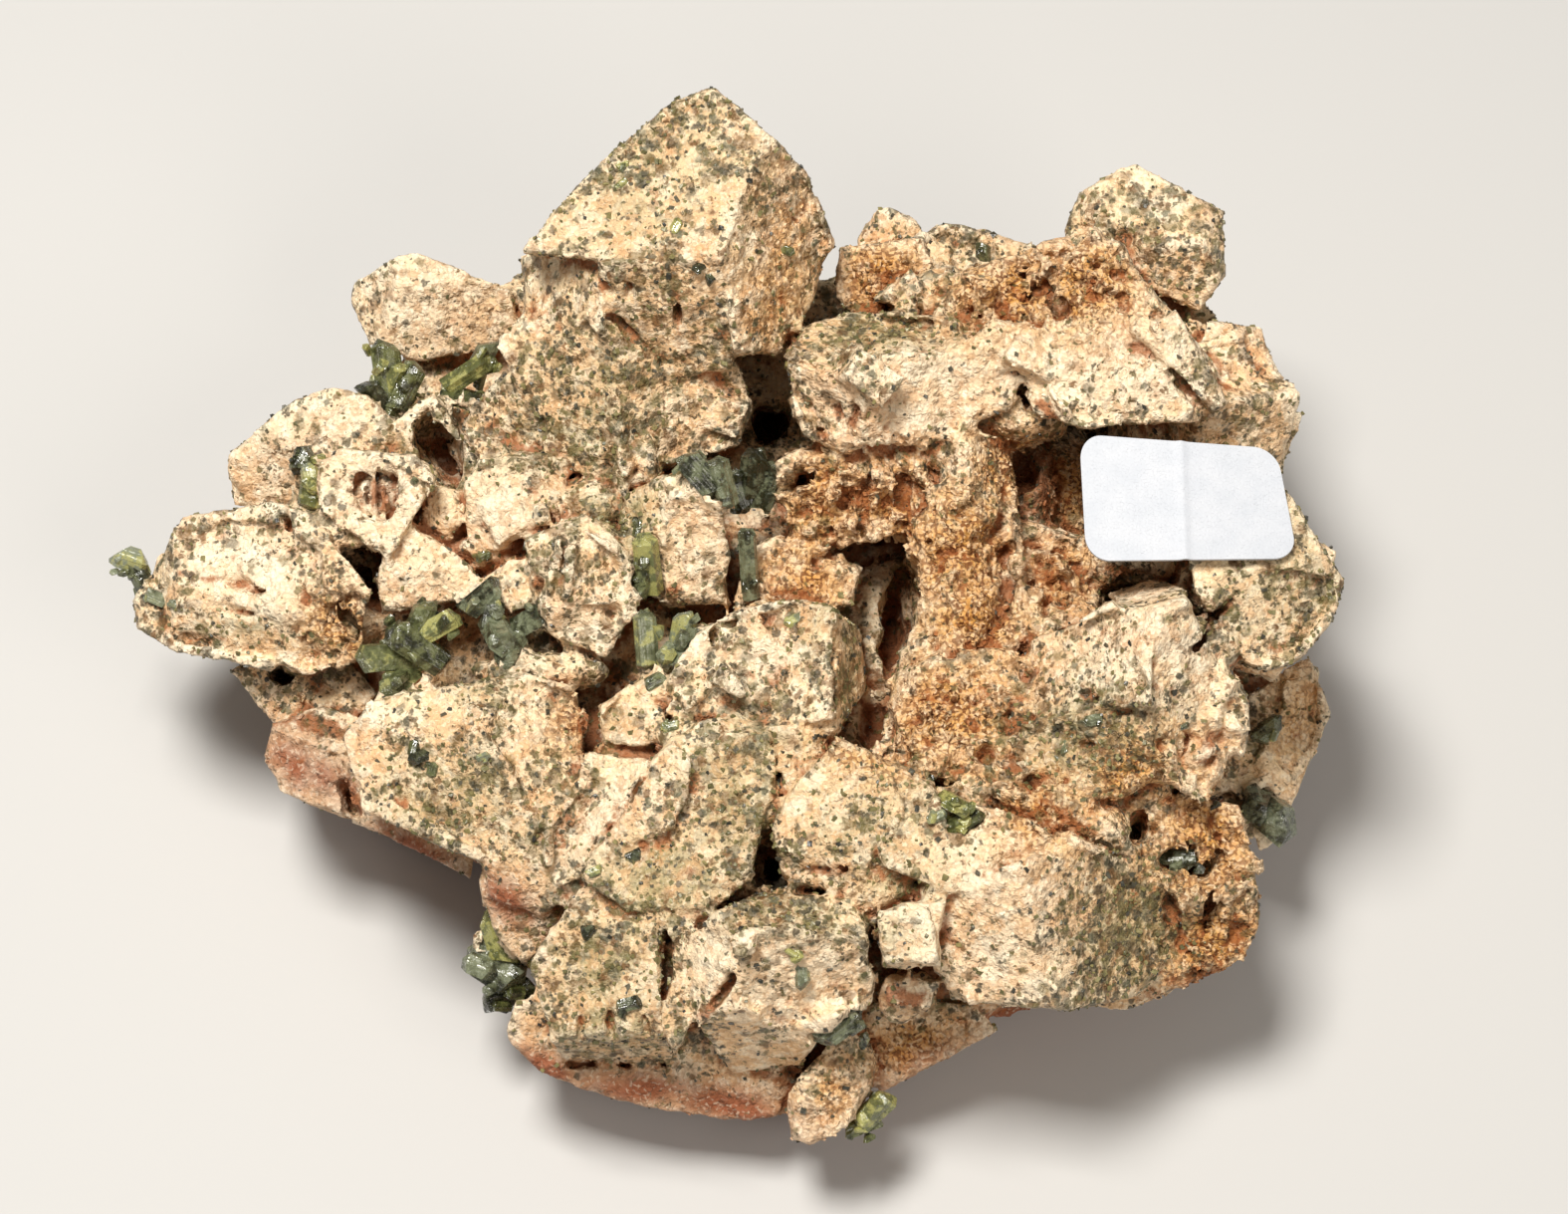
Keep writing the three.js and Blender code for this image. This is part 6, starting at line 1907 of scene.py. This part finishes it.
SPRAYS = (
    EpidoteSpray("epidote_left_tip", (
        (-54, 4.2, 22.5, 3.6, 2.6, 165, 10), (-53.4, 3, 22, 3.4, 2.0, 120, 30),
    ), tones=((0.6, 1.0), (0.4, 0.3))),
    EpidoteSpray("epidote_far_seam", (
        (-32.6, 20, 23, 5.6, 3, 100, 40), (-31.2, 18.6, 22.5, 5, 2.8, 60, 25),
        (-33.4, 17.6, 22, 4.4, 2.4, 150, 50),
    ), tones=((0.75, 0.1), (0.55, 0.1), (0.4, 0.2))),
    EpidoteSpray("epidote_far_spray", (
        (-26, 19.6, 23.5, 5.2, 2.6, 20, 30), (-24.6, 20.8, 23.5, 4.8, 2.4, 50, 45),
        (-26.4, 17.8, 22.5, 4.4, 2.4, 330, 20),
    ), tones=((0.7, 0.0), (0.55, 0.6), (0.6, 0.1))),
    EpidoteSpray("epidote_left_prism", (
        (-38.9, 9.7, 27.6, 3.0, 2.6, 80, 30), (-39, 11.2, 27.8, 2.6, 2.2, 100, 20),
        (-39.6, 12.4, 27.4, 2.6, 2.2, 60, 20),
    ), stubby=1, tones=((1.0, 0.0), (0.75, 1.0), (0.5, 0.1))),
    EpidoteSpray("epidote_band", (
        (-32, -4, 27, 6.5, 3.4, 200, 25), (-30, -3.4, 27.6, 6, 3.2, 160, 35),
        (-31.6, -5.8, 26.6, 4.6, 2.6, 240, 30), (-28.6, -1.6, 28.2, 4.4, 2.6, 20, 25),
        (-30, -1.2, 28, 4.2, 2.2, 60, 35),
    ), 0.5, 0.2),
    EpidoteSpray("epidote_glassy", (
        (-24.9, 0.9, 28.8, 4.4, 2.6, 30, 30), (-23.4, -1.8, 28.4, 5.4, 2.8, 290, 30),
        (-22.4, -3.2, 27.6, 4.2, 2.4, 250, 25), (-23.9, -0.2, 28.4, 3.8, 2.2, 80, 20),
        (-20.8, -0.9, 28, 4, 2.4, 10, 40),
    ), 0.35, 0.8),
    EpidoteSpray("epidote_beside", (
        (-10.9, 3.6, 31.4, 6, 2.6, 100, 60), (-11.4, 2.2, 30.6, 3.8, 2.2, 70, 40),
    ), 0.55, 0.2),
    EpidoteSpray("epidote_crown", (
        (-6.4, 11.4, 37.2, 4.4, 2.8, 140, 30), (-4.6, 10.4, 36.8, 4.6, 2.2, 110, 50),
    ), 0.5, 0.7),
    EpidoteSpray("epidote_gap", (
        (-2, 11.2, 32.0, 5, 2.8, 80, 60), (-1, 10.2, 31, 4.4, 2.4, 60, 45),
        (-3, 9.8, 30.6, 4.0, 2.2, 120, 40),
    ), 0.2, 0.8),
    EpidoteSpray("epidote_blade", ((-2.3, 3.6, 30.4, 6.6, 1.7, 95, 50),), 0.08, 0.8),
    EpidoteSpray("epidote_pale_left", ((-10.9, -2.6, 29, 5, 2.4, 95, 35),), 0.7, 0.6),
    EpidoteSpray("epidote_pale_right", (
        (-7.6, -3.6, 30, 4.6, 3.2, 40, 30), (-8, -1.9, 29.8, 3.6, 2.2, 75, 40),
    ), 0.6, 0.8),
    EpidoteSpray("epidote_bottom_left", (
        (-23, -27.4, 15.5, 5.6, 3.4, 110, 40), (-23.6, -30, 13.5, 5.4, 4.2, 150, 15),
        (-22.4, -32.2, 11.5, 5.0, 3, 200, 5),
    ), small=1, tones=((0.9, 0.0), (0.5, 0.8), (0.2, 0.0))),
    EpidoteSpray("epidote_front", (
        (5.2, -35, 20.6, 4.8, 2.6, 30, 20), (4.7, -34.4, 21, 3.2, 1.8, 80, 50),
    ), 0.35, 0.7),
    EpidoteSpray("epidote_foot_tip", (
        (8, -41.9, 11, 4.2, 2.6, 40, 15), (7.2, -43.2, 10.2, 3.4, 1.6, 20, 5),
    ), 0.75, 0.1),
    EpidoteSpray("epidote_right_edge", (
        (41.4, -17.4, 15, 5.6, 3.8, 300, 30), (40.3, -16.4, 15.6, 4.4, 3.0, 250, 40),
    ), 0.5, 1.0, small=1),
    EpidoteSpray("epidote_right_notch", ((41, -10.2, 18.6, 3.2, 1.8, 30, 30),), 0.3, 0.5),
    EpidoteSpray("epidote_middle", (
        (14.8, -16.2, 31.8, 4.4, 1.9, 310, 35), (15.5, -17.6, 31.2, 3.8, 1.9, 20, 25),
    ), 0.75, 0.0),
    EpidoteSpray("epidote_pit", ((33.6, -20.8, 23.6, 4, 1.9, 350, 15),), 0.1, 0.7),
    EpidoteSpray("epidote_back_seam", (
        (-18, 37.6, 12, 6.5, 3, 100, 25), (-15.4, 38, 10, 5.4, 2.4, 70, 10),
    ), 0.4, 0.4, portrait=False),
    EpidoteSpray("epidote_back_right", (
        (15, 36.6, 8, 6, 3, 80, 15), (17, 36.2, 7, 5, 2.4, 50, 5),
    ), 0.4, 0.4, portrait=False),
    EpidoteSpray("epidote_right_low", (
        (42.2, 9, 15, 6, 2.8, 0, 20), (41.6, 11, 13, 4.8, 2.2, 40, 10),
    ), 0.4, 0.4, portrait=False),
)


@dataclass
class PaperLabel:
    """The blank label: a thin sheet with rounded corners, creased where it crosses from block to block.

    `middle` is a point of the crease, [across, rise, height], and `slopes` the rise per millimetre
    of X and of Y on either side of it, as in the CAD source.
    """

    corners: tuple[tuple[float, float], ...] = ((25.3, 14.6), (41.8, 13.4), (43.6, 4.2), (25.9, 4.0))
    middle: Triple = (34.0, 9.2, 39.7)
    left_slopes: tuple[float, float] = (0.02, 0.15)
    right_slopes: tuple[float, float] = (-0.08, 0.15)
    rounding: tuple[float, float] = (0.115, 0.2)
    thickness: float = 0.2
    lift: float = 0.14
    columns: int = 72
    rows: int = 44

    def on_sheet(self, places: Array) -> Array:
        """Where lines of sight meet the creased sheet.

        Args:
            places: [across, rise] rows.

        Returns:
            The points: on each line, the height equals that of the middle plus slope times way.
        """
        origin = VIEW.point(*self.middle)
        slopes = np.where(places[:, :1] < self.middle[0], [self.left_slopes], [self.right_slopes])
        lines = VIEW.sight(places)
        gap = VIEW.eye - origin
        drop = (slopes * gap[:2]).sum(1) - gap[2]
        length = drop / (lines[:, 2] - (slopes * lines[:, :2]).sum(1))
        return VIEW.eye + lines * length[:, None]

    def build(self, finish: Finish) -> None:
        """Makes the sheet and hides the CAD label that it stands for.

        The outline is a unit square with elliptic corners, laid between the four corners by mixing
        them with u and v.

        Args:
            finish: the paper.
        """
        around, tall = self.rounding
        v = 0.5 - 0.5 * np.cos(np.linspace(0, math.pi, self.rows))
        past = np.clip(np.abs(v - 0.5) - (0.5 - tall), 0, None) / tall
        inset = (around * (1 - np.sqrt(np.clip(1 - past**2, 0, 1))))[:, None]
        u = inset + (1 - 2 * inset) * np.linspace(0, 1, self.columns)[None]
        v = np.repeat(v[:, None], self.columns, axis=1)
        top_left, top_right, low_right, low_left = (np.array(c) for c in self.corners)
        upper = top_left + (top_right - top_left) * u[..., None]
        lower = low_left + (low_right - low_left) * u[..., None]
        top = self.on_sheet((lower + (upper - lower) * v[..., None]).reshape(-1, 2))
        fold = np.exp(-(((top[:, 0] - VIEW.point(*self.middle)[0]) / 0.35) ** 2))
        top[:, 2] += self.lift + 0.06 * LatticeNoise(5.0, 5).at(top) + 0.15 * fold
        count = len(top)
        grid = np.arange(count).reshape(self.rows, self.columns)
        a, b, c, d = (grid[:-1, :-1], grid[:-1, 1:], grid[1:, 1:], grid[1:, :-1])
        upper_faces = np.stack([a, b, c, d], axis=-1).reshape(-1, 4)
        lower_faces = upper_faces[:, ::-1] + count
        rim = np.concatenate([grid[0, :], grid[1:, -1], grid[-1, -2::-1], grid[-2:0:-1, 0]])
        after = np.roll(rim, -1)
        rim_faces = np.stack([after, rim, rim + count, after + count], axis=1)
        bottom = top - np.array([0, 0, self.thickness])
        faces = np.concatenate([upper_faces, lower_faces, rim_faces])
        sheet = MeshParts(np.concatenate([top, bottom]), faces)
        piece = sheet.piece("paper_sheet", finish, "paper", smooth=True)
        piece.data.set_sharp_from_angle(angle=math.radians(40))
        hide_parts("paper_label")


@dataclass
class Studio:
    """The plain pale floor and the soft lights."""

    floor_half: float = 1.5
    key_power: float = 3.5
    fill_power: float = 0.85

    def build(self, effects: Effects) -> None:
        """Makes the floor, the lights and the surroundings.

        Args:
            effects: the shared effects of the materials.
        """
        mesh = bpy.data.meshes.new("floor")
        half = self.floor_half
        corners = [(-half, -half, 0), (half, -half, 0), (half, half, 0), (-half, half, 0)]
        mesh.from_pydata(corners, [], [(0, 1, 2, 3)])
        mesh.materials.append(FloorFinish(effects).material)
        floor = bpy.data.objects.new("floor", mesh)
        bpy.context.scene.collection.objects.link(floor)
        self.light("key", (-0.1, 0.02, 0.52), 0.14, self.key_power, (1.0, 0.97, 0.92))
        self.light("fill", (0.26, -0.32, 0.4), 0.25, self.fill_power, (1.0, 0.93, 0.84))
        world = bpy.data.worlds.new("studio")
        world.use_nodes = True
        world.node_tree.nodes["Background"].inputs["Color"].default_value = (1.0, 0.98, 0.95, 1.0)
        world.node_tree.nodes["Background"].inputs["Strength"].default_value = 0.2
        bpy.context.scene.world = world
        bpy.context.scene.view_settings.view_transform = "Standard"

    @staticmethod
    def light(name: str, place: Triple, size: float, power: float, colour: Triple) -> None:
        """Adds a square soft light that points at the specimen.

        Args:
            name: the light's name.
            place: where it hangs, in metres.
            size: its side, in metres.
            power: in watts.
            colour: red, green and blue.
        """
        data = bpy.data.lights.new(name, "AREA")
        data.size = size
        data.energy = power
        data.color = colour
        made = bpy.data.objects.new(name, data)
        made.location = place
        made.rotation_euler = (Vector((0, 0, 0.02)) - Vector(place)).to_track_quat("-Z", "Y").to_euler()
        bpy.context.scene.collection.objects.link(made)


def main() -> None:
    """Builds the specimen piece by piece, then the camera and the studio."""
    logging.basicConfig(level=logging.INFO, format="%(name)s %(message)s")
    effects = Effects()
    VIEW.camera()
    Studio().build(effects)

    rock = FeldsparRock()
    rock.build()
    rock.measured()
    log.info("stone weathered")
    paint = StonePaint(rock)
    stone = FeldsparFinish(effects)
    slabs = rock.slab_meshes()
    for name, slab in zip(rock.slabs, slabs):
        slab.values = paint.values(slab.points)
        piece = slab.piece("feldspar_" + name, stone, "feldspar", smooth=True)
        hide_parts("feldspar_cluster")

    skin = MeshParts.joined(slabs)
    apart = (rock.prisms.at(skin.points) > 0.4) & (rock.label.at(skin.points) > 0.9)
    clear = (skin.points[:, 2] > 0.8) & apart
    open_air = clear * np.clip(1.2 - 1.6 * skin.values["depth"], 0.05, 1)
    specks = skin.values["speckled"]
    olive = skin.values["olive"]
    stony = 0.02 + skin.values["crevice"] + 0.8 * skin.values["ochre"]
    grains = (
        ("dark_grains", CrumbFinish(effects, Tint.DARK), 4000, (0.25, 0.5), specks**2 + 0.6 * olive),
        ("olive_grains", CrumbFinish(effects, Tint.OLIVE), 8000, (0.2, 0.5), olive + 0.2 * specks**2),
        ("feldspar_crumbs", stone, 16000, (0.2, 0.45), stony),
        ("feldspar_chips", stone, 6000, (0.35, 0.8), stony**2),
    )
    for seed, (name, finish, count, size, weight) in enumerate(grains):
        mesh = Crumbs(rock, skin, count, size, GRAIN_SEED + seed).scatter(weight * open_air)
        mesh.piece(name, finish, "feldspar", smooth=False)

    glass = EpidoteFinish(effects)
    for seed, spray in enumerate(SPRAYS):
        spray.build(glass, SPRAY_SEED + seed)
    EpidoteFlecks(rock).build(glass, FLECK_SEED)
    PaperLabel().build(PaperFinish(effects))


if __name__ == "__main__":
    main()
